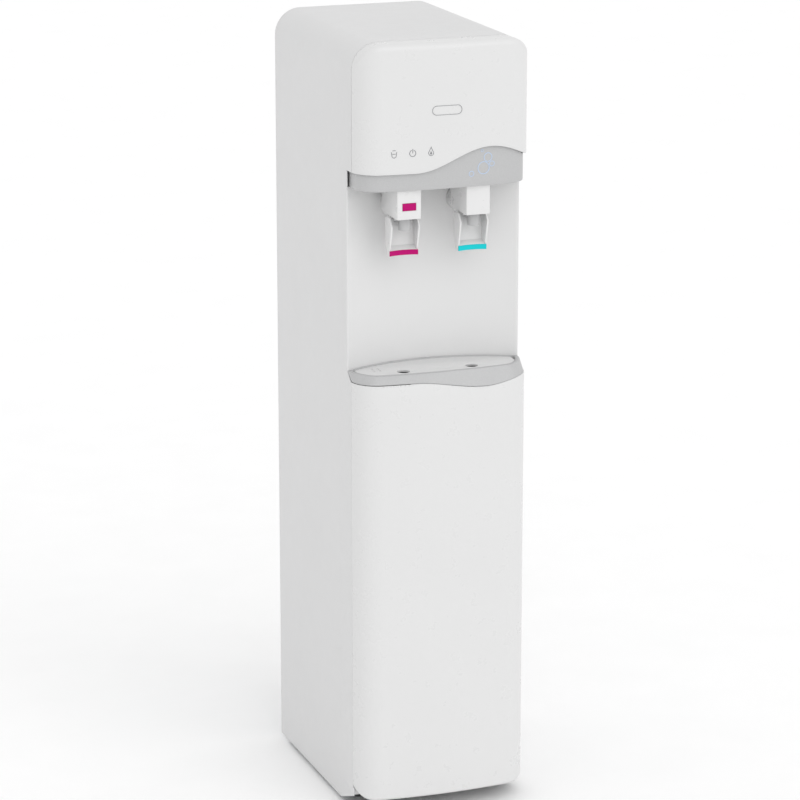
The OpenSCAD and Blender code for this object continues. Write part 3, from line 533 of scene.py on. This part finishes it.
MATS = {
    "cabinet_white": finish_of("powder_coat_white", (0.665, 0.665, 0.667), 0.46, grain=1100, depth=0.05,
                               drift=0.008, wear=(55.0, (0.65, 0.65, 0.65))),
    "cover_white": finish_of("gloss_white", (0.69, 0.69, 0.69), 0.3, grain=700, depth=0.006, drift=0.006),
    "bay_white": finish_of("satin_white", (0.71, 0.71, 0.71), 0.34, grain=1300, depth=0.03, drift=0.008),
    "trim_silver": finish_of("silver_lacquer", (0.455, 0.457, 0.46), 0.44, 0.12, 1200, 0.03, 0.012,
                             extra=flakes),
    "inlay_blue": finish_of("pale_blue_print", (0.48, 0.58, 0.74), 0.3, grain=900, depth=0.03),
    "print_grey": finish_of("grey_print", (0.24, 0.245, 0.255), 0.4, grain=900, depth=0.03),
    "grille_grey": finish_of("grille_grey", (0.71, 0.71, 0.71), 0.5, grain=1500, depth=0.16, drift=0.02),
    "tap_white": finish_of("tap_gloss_white", (0.72, 0.72, 0.72), 0.3, grain=900, depth=0.008, drift=0.006),
    "spout_grey": finish_of("spout_grey", (0.47, 0.472, 0.476), 0.44, grain=1300, depth=0.08, drift=0.03),
    "strip_magenta": finish_of("strip_magenta", (0.46, 0.004, 0.145), 0.5, grain=900, depth=0.03, drift=0.04),
    "strip_cyan": finish_of("strip_cyan", (0.012, 0.56, 0.60), 0.5, grain=900, depth=0.03, drift=0.04),
    "galvanised": finish_of("galvanised_sheet", (0.60, 0.62, 0.64), 0.42, 0.9, extra=spangle),
    "stainless": finish_of("brushed_stainless", (0.66, 0.66, 0.66), 0.3, 1.0, extra=brushed),
    "steel_pin": finish_of("ground_steel", (0.56, 0.57, 0.58), 0.28, 1.0, extra=brushed),
    "black_metal": finish_of("black_enamel", (0.018, 0.018, 0.02), 0.34, 0.1, 800, 0.12, 0.1, extra=dusty),
    "copper": finish_of("drawn_copper", (0.78, 0.40, 0.24), 0.28, 1.0, extra=tarnish),
    "foam": finish_of("bead_foam", (0.82, 0.80, 0.72), 0.9, extra=beads),
    "rubber_black": finish_of("black_rubber", (0.025, 0.025, 0.026), 0.72, grain=700, depth=0.3, extra=dusty),
    "frame_plastic": finish_of("inner_plastic", (0.56, 0.56, 0.56), 0.5, grain=1200, depth=0.14, drift=0.02),
    "dark_plastic": finish_of("dark_plastic", (0.035, 0.035, 0.038), 0.46, grain=1300, depth=0.22, extra=dusty),
    "fitting_blue": finish_of("fitting_blue", (0.04, 0.09, 0.36), 0.4, grain=1200, depth=0.12),
    "cap_grey": finish_of("cap_grey", (0.12, 0.125, 0.13), 0.5, grain=1200, depth=0.2),
    "tube_white": finish_of("natural_tube", (0.78, 0.80, 0.82), 0.32, grain=300, depth=0.03),
    "silicone": finish_of("silicone", (0.76, 0.72, 0.62), 0.5, grain=900, depth=0.08),
    "filter_white": finish_of("filter_white", (0.78, 0.78, 0.77), 0.34, grain=1100, depth=0.08, drift=0.02),
    "pcb_green": finish_of("solder_mask", (0.02, 0.14, 0.06), 0.34, extra=tracks),
    "switch_red": finish_of("switch_red", (0.40, 0.012, 0.010), 0.28, grain=1100, depth=0.08, coat=0.2),
    "switch_green": finish_of("switch_green", (0.010, 0.20, 0.065), 0.28, grain=1100, depth=0.08, coat=0.2),
    "mica": finish_of("mica_band", (0.50, 0.40, 0.26), 0.6, grain=260, depth=0.25, drift=0.12),
}
STRIP_SPECULAR = 0.12
for slot_name in ("strip_magenta", "strip_cyan"):
    strip_shader = MATS[slot_name].node_tree.nodes["Principled BSDF"]
    strip_shader.inputs["Specular IOR Level"].default_value = STRIP_SPECULAR
SLOT_OF = {s["node"]: s["material_slot"] for s in frame["record"]["subparts"]}
BODY_OF = {node: body for body, nodes in frame["record"]["behaviour"]["bodies"].items() for node in nodes}


def present(ob, node, smooth=30):
    """Hands a finished piece over: shading, material, body, and the CAD node it stands for."""
    slot = SLOT_OF[node]
    ob.name = ob.data.name = "v_" + node
    for p in ob.data.polygons:
        p.use_smooth = True
    ob.data.set_sharp_from_angle(angle=math.radians(smooth))
    ob.data.materials.clear()
    ob.data.materials.append(MATS[slot])
    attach(ob, BODY_OF[node])
    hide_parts(node)
    return ob


# ---- cabinet ----
WRAP_STEPS_Y = [-88, -60, -20, 20, 60, 100, 140, 172, Y_BACK]
ARC_STEPS = 28
TOP_STEPS = 8
TAB_INNER_X = 105
TAB_TOP = 62


def wrap_side(s):
    """The front edge of one side wall, as (z, y) from the floor up: toe, seam, cut-backs and seam again."""
    step = 0.02
    slot_y = DOOR_BACK + 0.4
    low = door_z(s * HALF_W) - 1.5
    wave = wave_z(s * HALF_W)
    return [(FOOT_GAP, TOE_Y), (12, TOE_Y + (SEAM_Y - TOE_Y) * 6 / 21), (DOOR_BASE, SEAM_Y),
            (39 - step, SEAM_Y), (39, slot_y), (200, slot_y), (400, slot_y), (low - step, slot_y),
            (low, CORNER_Y + 1.3), (TRAY_RIM, NOTCH_Y - 0.4), (TRAY_RIM + 2, NOTCH_Y), (780, NOTCH_Y),
            (BAY_TOP - 6, NOTCH_Y), (BAY_TOP + 2, TRIM_END_Y), (wave - step, TRIM_END_Y), (wave, SEAM_Y),
            (1000, SEAM_Y), (CABINET_H - TOP_R - 6, SEAM_Y)]


def make_wrap():
    rows = []
    flat = HALF_W - TOP_R

    def row(x, z, edge):
        rows.append([(x, y, z) for y in [edge] + WRAP_STEPS_Y])

    def corner(x, first):
        for i in range(ARC_STEPS + 1):
            a = first - math.pi / 2 * i / ARC_STEPS
            row(x + TOP_R * math.cos(a), CABINET_H - TOP_R + TOP_R * math.sin(a), SEAM_Y)

    for z, edge in wrap_side(-1):
        row(-HALF_W, z, edge)
    corner(-flat, math.pi)
    for i in range(1, TOP_STEPS):
        row(-flat + 2 * flat * i / TOP_STEPS, CABINET_H, SEAM_Y)
    corner(flat, math.pi / 2)
    for z, edge in reversed(wrap_side(1)):
        row(HALF_W, z, edge)
    b = Build()
    b.grid(rows)
    ob = shell(raw_object("wrap", b.v, b.f, 0.002), SHEET, (0, 0, 1), 0.35)
    tabs = []
    for s in (-1, 1):
        x0, x1 = sorted((s * TAB_INNER_X, s * (HALF_W - 0.5)))
        tabs.append(block("tab", (x0, DOOR_BACK + 0.5, DOOR_BASE + 0.2),
                          (x1, DOOR_BACK + 0.5 + SHEET, TAB_TOP), 0.3, 2))
    present(join("wrap", ob, *tabs), "cabinet_wrap")


def eased(d, r):
    """How far a rounded edge of radius r falls back at distance d from it."""
    return r - math.sqrt(max(r * r - (r - d) ** 2, 0)) if d < r else 0.0


def rim_section(px, pz, nx, nz, reach, r, y_back, steps):
    """Points from a wall at y_back, over an edge of radius r, to reach mm inside the outline."""
    def at(d):
        return plan_y(px - nx * d) + eased(d, r)

    start = 0.0
    if at(0.0) > y_back:
        lo, hi = 0.0, reach
        for _ in range(40):
            mid = (lo + hi) / 2
            lo, hi = (mid, hi) if at(mid) > y_back else (lo, mid)
        start = hi
    out = [(px - nx * start, y_back, pz - nz * start)]
    mid_y = (y_back + at(start)) / 2
    out.append((px - nx * start, mid_y, pz - nz * start))
    for i in range(steps + 1):
        d = start + (reach - start) * (1 - math.cos(math.pi / 2 * i / steps))
        out.append((px - nx * d, at(d), pz - nz * d))
    return out


UP, DOWN = 1, -1
PANEL_ROWS = 22
PANEL_COLS = 48
FAN_STEPS = 24
RIM_STEPS = 18
COVER_EDGE_R = 9.0
DOOR_EDGE_R = 5.0


def face_panel(corner_r, corner_z, free_z, y_back, edge_r, way):
    """A front panel with two round corners of corner_r towards way, and free_z(x) as its other edge."""
    b = Build()
    cx = HALF_W - corner_r

    def level(x, k):
        return free_z(x) + (corner_z - free_z(x)) * k / PANEL_ROWS

    def rim(px, pz, nx, nz, r):
        return rim_section(px, pz, nx, nz, corner_r, r, y_back, RIM_STEPS)

    for s in (-1, 1):
        # straight side: from the free edge to the corner
        sec = rim(s * HALF_W, 0, s, 0, 0.0)
        b.grid([[(x, y, level(x, k)) for x, y, _ in sec] for k in range(PANEL_ROWS + 1)])
        # round corner
        fan = []
        for i in range(FAN_STEPS + 1):
            a = math.pi / 2 * i / FAN_STEPS
            nx, nz = s * math.cos(a), way * math.sin(a)
            fan.append(rim(s * cx + corner_r * nx, corner_z + corner_r * nz, nx, nz, edge_r * math.sin(a) ** 2))
        b.grid(fan)
    cols = [cx * (2 * i / PANEL_COLS - 1) for i in range(PANEL_COLS + 1)]
    b.grid([[(x, plan_y(x), level(x, k)) for k in range(PANEL_ROWS + 1)] for x in cols])
    b.grid([rim(x, corner_z + way * corner_r, 0, way, edge_r) for x in cols])
    return b


def fold_in(b, free_z, y_back, flange):
    """Folds a panel's free edge inwards by flange."""
    path = [p for p in front_path(0) if p[1] <= y_back]
    k = (HALF_W - flange) / HALF_W
    b.grid([[(x, y, free_z(x)) for x, y in path],
            [(x * k, min(y + flange, y_back), free_z(x)) for x, y in path]])


def make_cover():
    b = face_panel(TOP_R, CABINET_H - TOP_R, wave_z, SEAM_Y - 0.4, COVER_EDGE_R, UP)
    ob = raw_object("cover", b.v, b.f, 0.03)
    shell(ob, WALL, (0, -1, 0), 0.45)
    boss = disc_profile(5, -168, SEAM_Y + 0.3, 0.3, 1.7)
    bosses = [lathe("boss", boss, (x, 0, z), "Y", 28) for x in (-110, 110) for z in (960, 1050)]
    present(join("cover", ob, *bosses), "upper_front_cover")


def door_rib(z):
    """A low level rib across the inside of the door."""
    half, deep, high, steps = 85, 4.3, 2, 24
    b = Build()
    near = []
    for i in range(steps + 1):
        x = -half + 2 * half * i / steps
        near.append((x, plan_y(x, WALL) - 0.3))
    corners = [(0, 0), (deep, 0), (deep, high), (0, high)]
    for (y0, z0), (y1, z1) in zip(corners, corners[1:] + corners[:1]):
        b.grid([[(x, y + y0, z + z0) for x, y in near], [(x, y + y1, z + z1) for x, y in near]])
    for x, y in (near[0], near[-1]):
        b.face([(x, y + dy, z + dz) for dy, dz in corners])
    return raw_object("rib", b.v, b.f, 0.002)


def make_door():
    def edge_z(x):
        return door_z(x) - DOOR_GAP

    b = face_panel(DOOR_CORNER_R, DOOR_BASE + DOOR_CORNER_R, edge_z, DOOR_BACK, DOOR_EDGE_R, DOWN)
    fold_in(b, edge_z, DOOR_BACK, 6.0)
    ob = raw_object("door", b.v, b.f, 0.03)
    shell(ob, WALL, (0, -1, 0), 0.4)
    tabs = [block("tab", (x - 5, -169, z - 1.5), (x + 5, -136, z + 1.5), 0.5, 2)
            for x in (-108, 108) for z in (90, 585)]
    ribs = [door_rib(z) for z in (130, 250, 370, 490)]
    present(join("door", ob, *tabs, *ribs), "front_door")


def make_trim():
    """The silver band, which tucks up behind the cover between its ends."""
    b = Build()
    end = NOTCH_Y + 11
    tuck, end_gap, tuck_x, steps = 6, 0.6, 112, 6
    path = front_path(TRIM_INSET)
    left, right = path[0][0], path[-1][0]
    half_way = (end + CORNER_Y) / 2
    path = [(left, end), (left, half_way)] + path + [(right, half_way), (right, end)]
    rows = []
    for x, y in path:
        top = wave_z(x) + (tuck if abs(x) < tuck_x else -end_gap)
        rows.append([(x, y, BAY_TOP + (top - BAY_TOP) * k / steps) for k in range(steps + 1)])
    b.grid(rows)
    ob = raw_object("trim", b.v, b.f, 0.002)
    shell(ob, WALL, (0, -1, 0), 0.7)
    present(ob, "wave_trim")


def make_inlays():
    rings = [(52.5, 930, 9, 1.2), (59, 944.3, 6.4, 1.1), (65, 934.9, 4, 1), (34.5, 923, 4, 1),
             (50.3, 953.8, 2, 0.7)]
    obs = []
    for x, z, r, w in rings:
        p = plate("ring", [circle(r, 56), circle(r - w, 56)], 0.3, 0.08, 2)
        obs.append(on_front(p, x, z, TRIM_INSET))
    present(join("inlays", *obs), "bubble_inlays")


def drop_outline(r):
    """A water drop with a round lower part of radius r."""
    pts = circle(r, 30, start=-225, end=45)
    tip_side = pts[-1]
    return pts + [(tip_side[0] * 0.45, r * 1.55), (0, r * 2.3), (-tip_side[0] * 0.45, r * 1.55)]


def bar(half, low, high):
    return [(-half, low), (half, low), (half, high), (-half, high)]


def pill_outline(r, reach=15):
    right = [(reach + x, y) for x, y in circle(r, 24, start=-90, end=90)]
    return right + [(-reach + x, y) for x, y in circle(r, 24, start=90, end=270)]


def make_icons():
    """Thin generic marks on the cover: a glass, a power sign, a drop and a blank pill."""
    obs = []

    def put(outlines, x, z):
        obs.append(on_front(plate("icon", outlines, 0.3, 0.08, 2), x, z, 0))

    glass = circle(3.4, 20, 0, -1.6, 180, 360)
    inner = circle(2.6, 20, 0, -1.6, 180, 360)
    put([[(-4.2, 3.4)] + glass + [(4.2, 3.4), (3.3, 3.4)] + inner[::-1] + [(-3.3, 3.4)]], -78, 957)
    put([bar(2.4, 0.2, 0.95)], -78, 957)
    put([bar(2.2, 5, 5.8)], -78, 957)
    put([circle(4.8, 40, 0, 0, 110, 430) + circle(3.9, 40, 0, 0, 110, 430)[::-1]], -52, 957.5)
    put([bar(0.45, 0, 6)], -52, 957.5)
    put([drop_outline(4), drop_outline(3.2)], -26, 956.5)
    put([drop_outline(1.5)], -26, 956)
    put([pill_outline(6.5), pill_outline(5.9)], -3, 1014)
    present(join("icons", *obs), "indicator_icons")


# ---- bay, tray and grille ----
GRID_STEPS = 64


def rim_lean(x):
    """How far the tray's rim lies behind the foot of its front wall."""
    return 8.5 + 7.5 * (1 - bump(max(abs(x), 100), 100, 26))


def tray_inset(x, y, d, reach, depth):
    """Draws a point of the tray's outline in by about d."""
    return x * (1 - d / reach), TIP_Y + (y - TIP_Y) * (1 - d / depth)


def tray_front(point, d):
    x, y = point
    return tray_inset(x, y + rim_lean(x), d, 124, 51)


def tray_back(share, d):
    """A point of the tray's back edge, where share runs from 0 on the right to 1 on the left."""
    r = BAY_R - 0.6
    a = math.asin(122 / r) * (1 - 2 * share)
    return tray_inset(r * math.sin(a), BAY_MID_Y + r * math.cos(a), d, 122, 34)


def across(reach, steps):
    """Evenly spaced x from -reach to reach."""
    return [-reach + 2 * reach * i / steps for i in range(steps + 1)]


def make_bay():
    wall_steps, roof_steps = 12, 8
    b = Build()
    b.grid([[(x, bay_y(x), TRAY_BASE + (BAY_TOP - TRAY_BASE) * k / wall_steps) for k in range(wall_steps + 1)]
            for x in across(HALF_W - SHEET, GRID_STEPS)])
    wall = raw_object("bay", b.v, b.f, 0.002)
    shell(wall, WALL, (0, -1, 0), 0.3)

    behind_trim = TRIM_INSET + WALL + 0.1
    b = Build()
    rows = []
    for x in across(HALF_W - TRIM_INSET - WALL - 0.1, GRID_STEPS):
        back = bay_y(x, BAY_R + WALL)
        run = plan_y(x, behind_trim) - back
        rows.append([(x, back + run * k / roof_steps, BAY_TOP) for k in range(roof_steps + 1)])
    b.grid(rows)
    roof = raw_object("roof", b.v, b.f, 0.002)
    shell(roof, WALL, (0, 0, -1), 0.3)
    present(join("bay", wall, roof), "bay_panel")


TRAY_PATH = (3.0, 14, 30)
BACK_STEPS = 40
LIP = 1.1
WALL_STEPS = 5


def make_tray():
    """One closed loop of sections round the tray: outer wall, rim, ledge, bowl, floor and underside."""
    skin = front_path(*TRAY_PATH)
    outer = front_path(0.8, 14, 30)
    inner_skin = front_path(3.2, 14, 30)
    keys = [("front", i) for i in range(len(skin))] + [("back", k) for k in range(BACK_STEPS + 1)]
    sections = []
    middle = []

    def front_wall(i):
        """From the ledge down behind the front wall, under it, and up its face to the rim."""
        ox, oy = outer[i]
        ix, iy = inner_skin[i]
        low = door_z(ox)
        lean = rim_lean(ox) / (TRAY_RIM - low)
        wall = [(ix, iy + lean * (TRAY_LEDGE - low), TRAY_LEDGE), (ix, iy + 0.5, low + 0.1), (ix, iy, low),
                (ox, oy + 0.6, low), (ox, oy + lean * 0.6, low + 0.6)]
        for k in range(1, WALL_STEPS + 1):
            z = low + (TRAY_RIM - LIP - low) * k / WALL_STEPS
            wall.append((ox, oy + lean * (z - low), z))
        ty = oy + rim_lean(ox)
        lip_y = ty + LIP * min(1.0, (TIP_Y - ty) / 12)
        return wall + [(ox, ty, TRAY_RIM - 0.35), (ox * 0.997, lip_y, TRAY_RIM)]

    for kind, i in keys:
        def p(d, z, kind=kind, i=i):
            x, y = tray_front(skin[i], d) if kind == "front" else tray_back(i / BACK_STEPS, d)
            return (x, y, z)

        if kind == "front":
            sec = front_wall(i)
        else:
            low = TRAY_LEDGE + 0.4
            sec = [p(3, TRAY_LEDGE), p(2.6, TRAY_LEDGE), p(2.2, TRAY_LEDGE), p(0.4, TRAY_LEDGE), p(0, low)]
            sec += [p(0, low + (TRAY_RIM - LIP - low) * k / WALL_STEPS) for k in range(1, WALL_STEPS + 1)]
            sec += [p(0.25, TRAY_RIM - 0.35), p(LIP, TRAY_RIM)]
        # rim, ledge and bowl
        sec += [p(3.4, TRAY_RIM), p(3.85, TRAY_RIM - 0.3), p(4, TRAY_RIM - 0.8), p(4, TRAY_LEDGE + 0.2),
                p(4.2, TRAY_LEDGE), p(7.4, TRAY_LEDGE), p(7.9, TRAY_LEDGE - 0.4), p(8, TRAY_LEDGE - 1),
                p(8, 632), p(8, 624), p(8, 619), p(8.6, 617.2), p(10.4, BOWL_FLOOR)]
        x, y, _ = sec[-1]
        x, y = x * 0.5, y * 0.5 + TIP_Y / 2
        middle.append((x, y))
        # the floor's underside and the bowl's outer wall
        sec += [(x, y, BOWL_FLOOR), (x, y, TRAY_BASE), p(5, TRAY_BASE), p(3.6, 614.3), p(3, 615.2), p(3, 628),
                p(3, TRAY_LEDGE)]
        sections.append(sec + [sec[0]])
    b = Build()
    b.grid(sections, close=True)
    b.face([(x, y, BOWL_FLOOR) for x, y in middle])
    b.face([(x, y, TRAY_BASE) for x, y in middle])
    present(raw_object("tray", b.v, b.f), "drip_tray", smooth=35)


def make_grille():
    end_x, thick, drain_r, groove_half = 116, 3.4, 9, 0.8
    pts = [tray_front(p, GRILLE_INSET) for p in front_path(*TRAY_PATH)]
    pts += [tray_back(k / BACK_STEPS, GRILLE_INSET) for k in range(BACK_STEPS + 1)]
    outline = []
    for x, y in pts:
        p = (max(-end_x, min(end_x, x)), y)
        if not outline or math.dist(p, outline[-1]) > 0.25:
            outline.append(p)
    holes = [circle(drain_r, 48, x, SPOUT_Y + 4) for x in TAP_X.values()]
    ob = plate("grille", [outline] + holes, thick, 0.5, 3)
    place(ob, Matrix.Translation((0, 0, (TRAY_LEDGE + 0.3) * MM)))
    for x in (-91, -82.5):
        cut(ob, block("groove", (x - groove_half, -140, TRAY_LEDGE + 2.9), (x + groove_half, -122, 650)))
    present(ob, "drip_grille", smooth=35)


# ---- taps ----
def behind_bay(low, high):
    """A solid that fills the space behind the bay's wall, to trim a boss flush with it."""
    xs = across(HALF_W - SHEET, 48)
    loop = [(x, bay_y(x) - 0.05) for x in xs] + [(x, 0) for x in reversed(xs)]
    b = Build()
    b.grid([[(x, y, low), (x, y, high)] for x, y in loop], close=True)
    for z in (low, high):
        b.face([(x, y, z) for x, y in loop])
    return raw_object("behind", b.v, b.f)


def make_tap(side):
    cx = TAP_X[side]
    half = TAP_W / 2
    ob = block("tap", (cx - half, TAP_FRONT, TAP_BASE), (cx + half, BOSS_Y + 1, BAY_TOP - 0.1), 1.3, 4)
    round_back = disc_profile(half - 0.2, BOSS_Y - 4, bay_y(abs(cx) - 17), 0.8)
    boss = lathe("boss", round_back, (cx, 0, SHANK_Z), "Y", 72)
    cut(boss, behind_bay(840, 920))
    cut(ob, boss, "UNION")
    cut(ob, block("chamber", (cx - 15, TAP_FRONT + 3, TAP_BASE - 1), (cx + 15, -126, 897)))
    if side == "hot":
        cut(ob, block("window", (cx - 10.1, TAP_FRONT - 1, 876.3), (cx + 10.1, TAP_FRONT + 4, 887.1)))
    present(ob, side + "_tap_body", smooth=35)


def make_spout(side):
    cx = TAP_X[side]
    # (radius, z) round the barrel's wall, from its bore at the tip
    profile = [(4.5, 846.6), (4.9, 846.1), (5.3, 846.0), (7.5, 846.0), (8.0, 846.2), (8.3, 846.8), (8.3, 853),
               (8.3, 861), (8.3, 869.2), (8.0, 869.5), (6.6, 869.5), (6.5, 869.3), (6.5, 866), (4.5, 866),
               (4.5, 858)]
    barrel = lathe("barrel", profile, (cx, SPOUT_Y, 0), "Z", 72)
    duct = block("duct", (cx - 5, SPOUT_Y + 7, 864.5), (cx + 5, -138, 877.5), 0.5, 2)
    feed = lathe("feed", disc_profile(4, -139, -78, 0.4, 2.4), (cx, 0, SHANK_Z), "Y", 40)
    ears = [block("ear", (x - 3.4, SPOUT_Y - 3, 864.5), (x + 3.4, SPOUT_Y + 3, 867), 0.3, 2)
            for x in (cx - 11.5, cx + 11.5)]
    present(join("spout", barrel, duct, feed, *ears), side + "_spout")


# side views (y, z) of the arm that carries the pin, and of the paddle's side wall
ARM = [(PIVOT_Y - 2.4, SHANK_Z - 2.4), (PIVOT_Y + 1, SHANK_Z - 3.3), (-136.5, 868.4), (-137.6, 866),
       (-138, 858), (-138, 838), (-133.5, 838), (-131.2, 850), (-130.3, 860), (-129.4, 870), (-130.2, 873.3),
       (-134, 874.4), (PIVOT_Y + 1, SHANK_Z + 3.3), (PIVOT_Y - 2.4, SHANK_Z + 2.4), (PIVOT_Y - 3.4, SHANK_Z)]
WING = [(-139.6, 815), (-151, 817.6), (-151.6, 818.4), (-159.2, 850), (-158.8, 852), (-151, 862),
        (-149.4, 862.8), (-134.8, 862.8), (-134, 862), (-134, 850), (-135.4, 822)]
ARM_W = 5
WING_W = 2.4
PIN_HOLE_R = 1.56


def make_lever(side):
    cx = TAP_X[side]
    half = PADDLE_W / 2
    parts = []
    for k in (-1, 1):
        arm = plate("arm", [ARM, circle(PIN_HOLE_R, 28, PIVOT_Y, SHANK_Z)], ARM_W, 0.5, 3)
        parts.append(along_x(arm, cx + k * 11.4 - ARM_W / 2))
        pad_x = cx + k * 8.2
        parts.append(block("pad", (pad_x - 2, SPOUT_Y - 3, 870.4), (pad_x + 2, SPOUT_Y + 3, 874.3), 0.4, 2))
    for k in (-1, 1):
        wing = plate("wing", [WING], WING_W, 0.5, 3)
        parts.append(along_x(wing, cx + k * (half - WING_W / 2) - WING_W / 2))
    # plate and lip: from the plate's upper edge round the back of the lip and up its concave face
    b = Build()
    rows = []
    steps = 28
    top = STRIP_Z + 7.2
    for i in range(steps + 1):
        x = (half - 0.05) * (2 * i / steps - 1)
        hollow = PADDLE_MID_Y + math.sqrt(PADDLE_R ** 2 - x * x)
        rows.append([(cx + x, y, z) for y, z in [
            (-138, PLATE_TOP - 0.7), (-137.3, PLATE_TOP), (-133.8, PLATE_TOP), (-133.1, PLATE_TOP - 0.7),
            (-133.6, 840), (-134.4, 830), (-135.4, 822), (-137.4, 817), (-139.6, 812.4), (-141, STRIP_Z + 0.5),
            (-141.8, STRIP_Z), (hollow + 0.6, STRIP_Z), (hollow, STRIP_Z + 0.5), (hollow, STRIP_Z + 3.6),
            (hollow, top - 0.4), (hollow + 0.5, top + 0.4), (hollow + (-140.6 - hollow) * 0.5, top + 2.6),
            (-139.9, top + 5.4), (-139.1, top + 8), (-138.3, top + 14), (-138, PLATE_TOP - 0.7)]])
    b.tube(rows)
    parts.append(soften(raw_object("paddle", b.v, b.f, 0.002), 0.35, 2, 50))
    present(join("lever", *parts), side + "_lever", smooth=38)


def make_strip(side):
    """The coloured strip in the lever's lip, bent round the same axis as the lip's concave face."""
    cx = TAP_X[side]
    half = PADDLE_W / 2
    z0, z1 = STRIP_Z, STRIP_Z + STRIP_H
    # (radius, z) round the strip, from the lip's face and back to it
    profile = [(58.78, z0), (57.6, z0), (57.28, z0 + 0.14), (57.2, z0 + 0.5), (57.2, z0 + 2), (57.2, z0 + 3.55),
               (57.2, z1 - 2), (57.2, z1 - 0.5), (57.28, z1 - 0.14), (57.6, z1), (58.78, z1)]
    steps = 36
    rows = []
    for i in range(steps + 1):
        a = math.asin(half * (2 * i / steps - 1) / PADDLE_R)
        row = [(cx + r * math.sin(a), PADDLE_MID_Y + r * math.cos(a), z) for r, z in profile]
        rows.append(row + [row[0]])
    b = Build()
    b.tube(rows)
    ob = soften(raw_object("strip", b.v, b.f, 0.002), 0.3, 2, 60)
    present(ob, side + "_lever_strip", smooth=40)


def make_spring(side):
    """A wire helix above the valve stem, built at one length; on the real tap it shortens as the stem lifts."""
    cx = TAP_X[side]
    turns, r, wire, low, high = 5, 5.2, 0.5, 877.4, 896.7
    flat, creep, sides = 0.75, 0.05, 12
    b = Build()
    steps = turns * 40
    rows = []
    for i in range(steps + 1):
        t = i / steps
        # the first and last three quarters of a turn lie nearly flat, as ground spring ends do
        u = min(max((t * turns - flat) / (turns - 2 * flat), 0), 1)
        mid = low + wire + (high - low - 2 * wire) * (creep * t + (1 - creep) * u)
        a = 2 * math.pi * turns * t
        row = []
        for k in range(sides):
            c = 2 * math.pi * k / sides
            q = r + wire * math.cos(c)
            row.append((cx + q * math.cos(a), SPOUT_Y + q * math.sin(a), mid + wire * math.sin(c)))
        rows.append(row + [row[0]])
    b.tube(rows)
    ob = present(raw_object("spring", b.v, b.f, 0.0005), side + "_valve_spring", smooth=50)
    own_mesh(ob)


def make_button():
    cx = TAP_X["hot"]
    cap = block("cap", (cx - 9.8, TAP_FRONT - 0.8, 876.6), (cx + 9.8, TAP_FRONT + 3.6, 886.8), 0.9, 4)
    root = block("root", (cx - 8, TAP_FRONT + 3.4, 878), (cx + 8, TAP_FRONT + 5, 889), 0.3, 2)
    present(join("button", cap, root), "hot_lock_button")


for maker in (make_wrap, make_cover, make_door, make_trim, make_inlays, make_icons, make_bay, make_tray,
              make_grille, make_button):
    maker()
for which in TAP_X:
    make_tap(which)
    make_spout(which)
    make_lever(which)
    make_strip(which)
    make_spring(which)

# ---- the CAD nodes that stay: their materials ----
for node_name, ob in frame["nodes"].items():
    mat = MATS[SLOT_OF[node_name]]
    if not ob.material_slots:
        ob.data.materials.append(mat)
    for s in ob.material_slots:
        s.material = mat

# ---- stage ----
FLOOR_HALF = 40.0
FLOOR_DARK, FLOOR_LIGHT = (0.955, 0.955, 0.955), (0.97, 0.97, 0.97)
SKY_STRENGTH = 0.93
KEY_AT, KEY_AIM, KEY_SIZE, KEY_WATTS = (2.6, -3.6, 2.4), (0, 0, 0.6), 2.4, 5
FILL_WAY, FILL_SPREAD, FILL_STRENGTH = (-0.10, 0.80, -0.58), 60, 0.62
CAMERA_AT = (-1.60993, -4.42099, 1.82979)
CAMERA_TILT, CAMERA_TURN = 74.916, -19.967
CAMERA_LENS, CAMERA_SENSOR = 152.98, 36


def turn_towards(ob, way):
    ob.rotation_euler = Vector(way).to_track_quat("-Z", "Y").to_euler()


floor_mat = Nodes("studio_floor")
patches = floor_mat.remap(floor_mat.noise(9.0), 0.3, 0.7)
floor_mat.set(Base_Color=floor_mat.mix(patches, FLOOR_DARK, FLOOR_LIGHT),
              Roughness=floor_mat.remap(floor_mat.noise(40.0), 0.3, 0.7, 0.85, 0.95))
floor_mesh = bpy.data.meshes.new("floor")
floor_corners = [(-FLOOR_HALF, -FLOOR_HALF, 0), (FLOOR_HALF, -FLOOR_HALF, 0), (FLOOR_HALF, FLOOR_HALF, 0),
                 (-FLOOR_HALF, FLOOR_HALF, 0)]
floor_mesh.from_pydata(floor_corners, [], [(0, 1, 2, 3)])
floor_mesh.materials.append(floor_mat.m)
floor = in_scene("floor", floor_mesh)

world = bpy.data.worlds.new("studio")
bpy.context.scene.world = world
world.use_nodes = True
sky = world.node_tree.nodes["Background"]
sky.inputs["Color"].default_value = (1, 1, 1, 1)
sky.inputs["Strength"].default_value = SKY_STRENGTH
bpy.context.scene.view_settings.view_transform = "Standard"

key = in_scene("key", bpy.data.lights.new("key", "AREA"))
key.data.size = KEY_SIZE
key.data.energy = KEY_WATTS
key.location = KEY_AT
turn_towards(key, Vector(KEY_AIM) - Vector(KEY_AT))

fill = in_scene("front_fill", bpy.data.lights.new("front_fill", "SUN"))
fill.data.energy = FILL_STRENGTH
fill.data.angle = math.radians(FILL_SPREAD)
turn_towards(fill, FILL_WAY)

camera = in_scene("camera", bpy.data.cameras.new("camera"))
camera.data.lens = CAMERA_LENS
camera.data.sensor_width = CAMERA_SENSOR
camera.location = CAMERA_AT
camera.rotation_euler = (math.radians(CAMERA_TILT), 0, math.radians(CAMERA_TURN))
bpy.context.scene.camera = camera
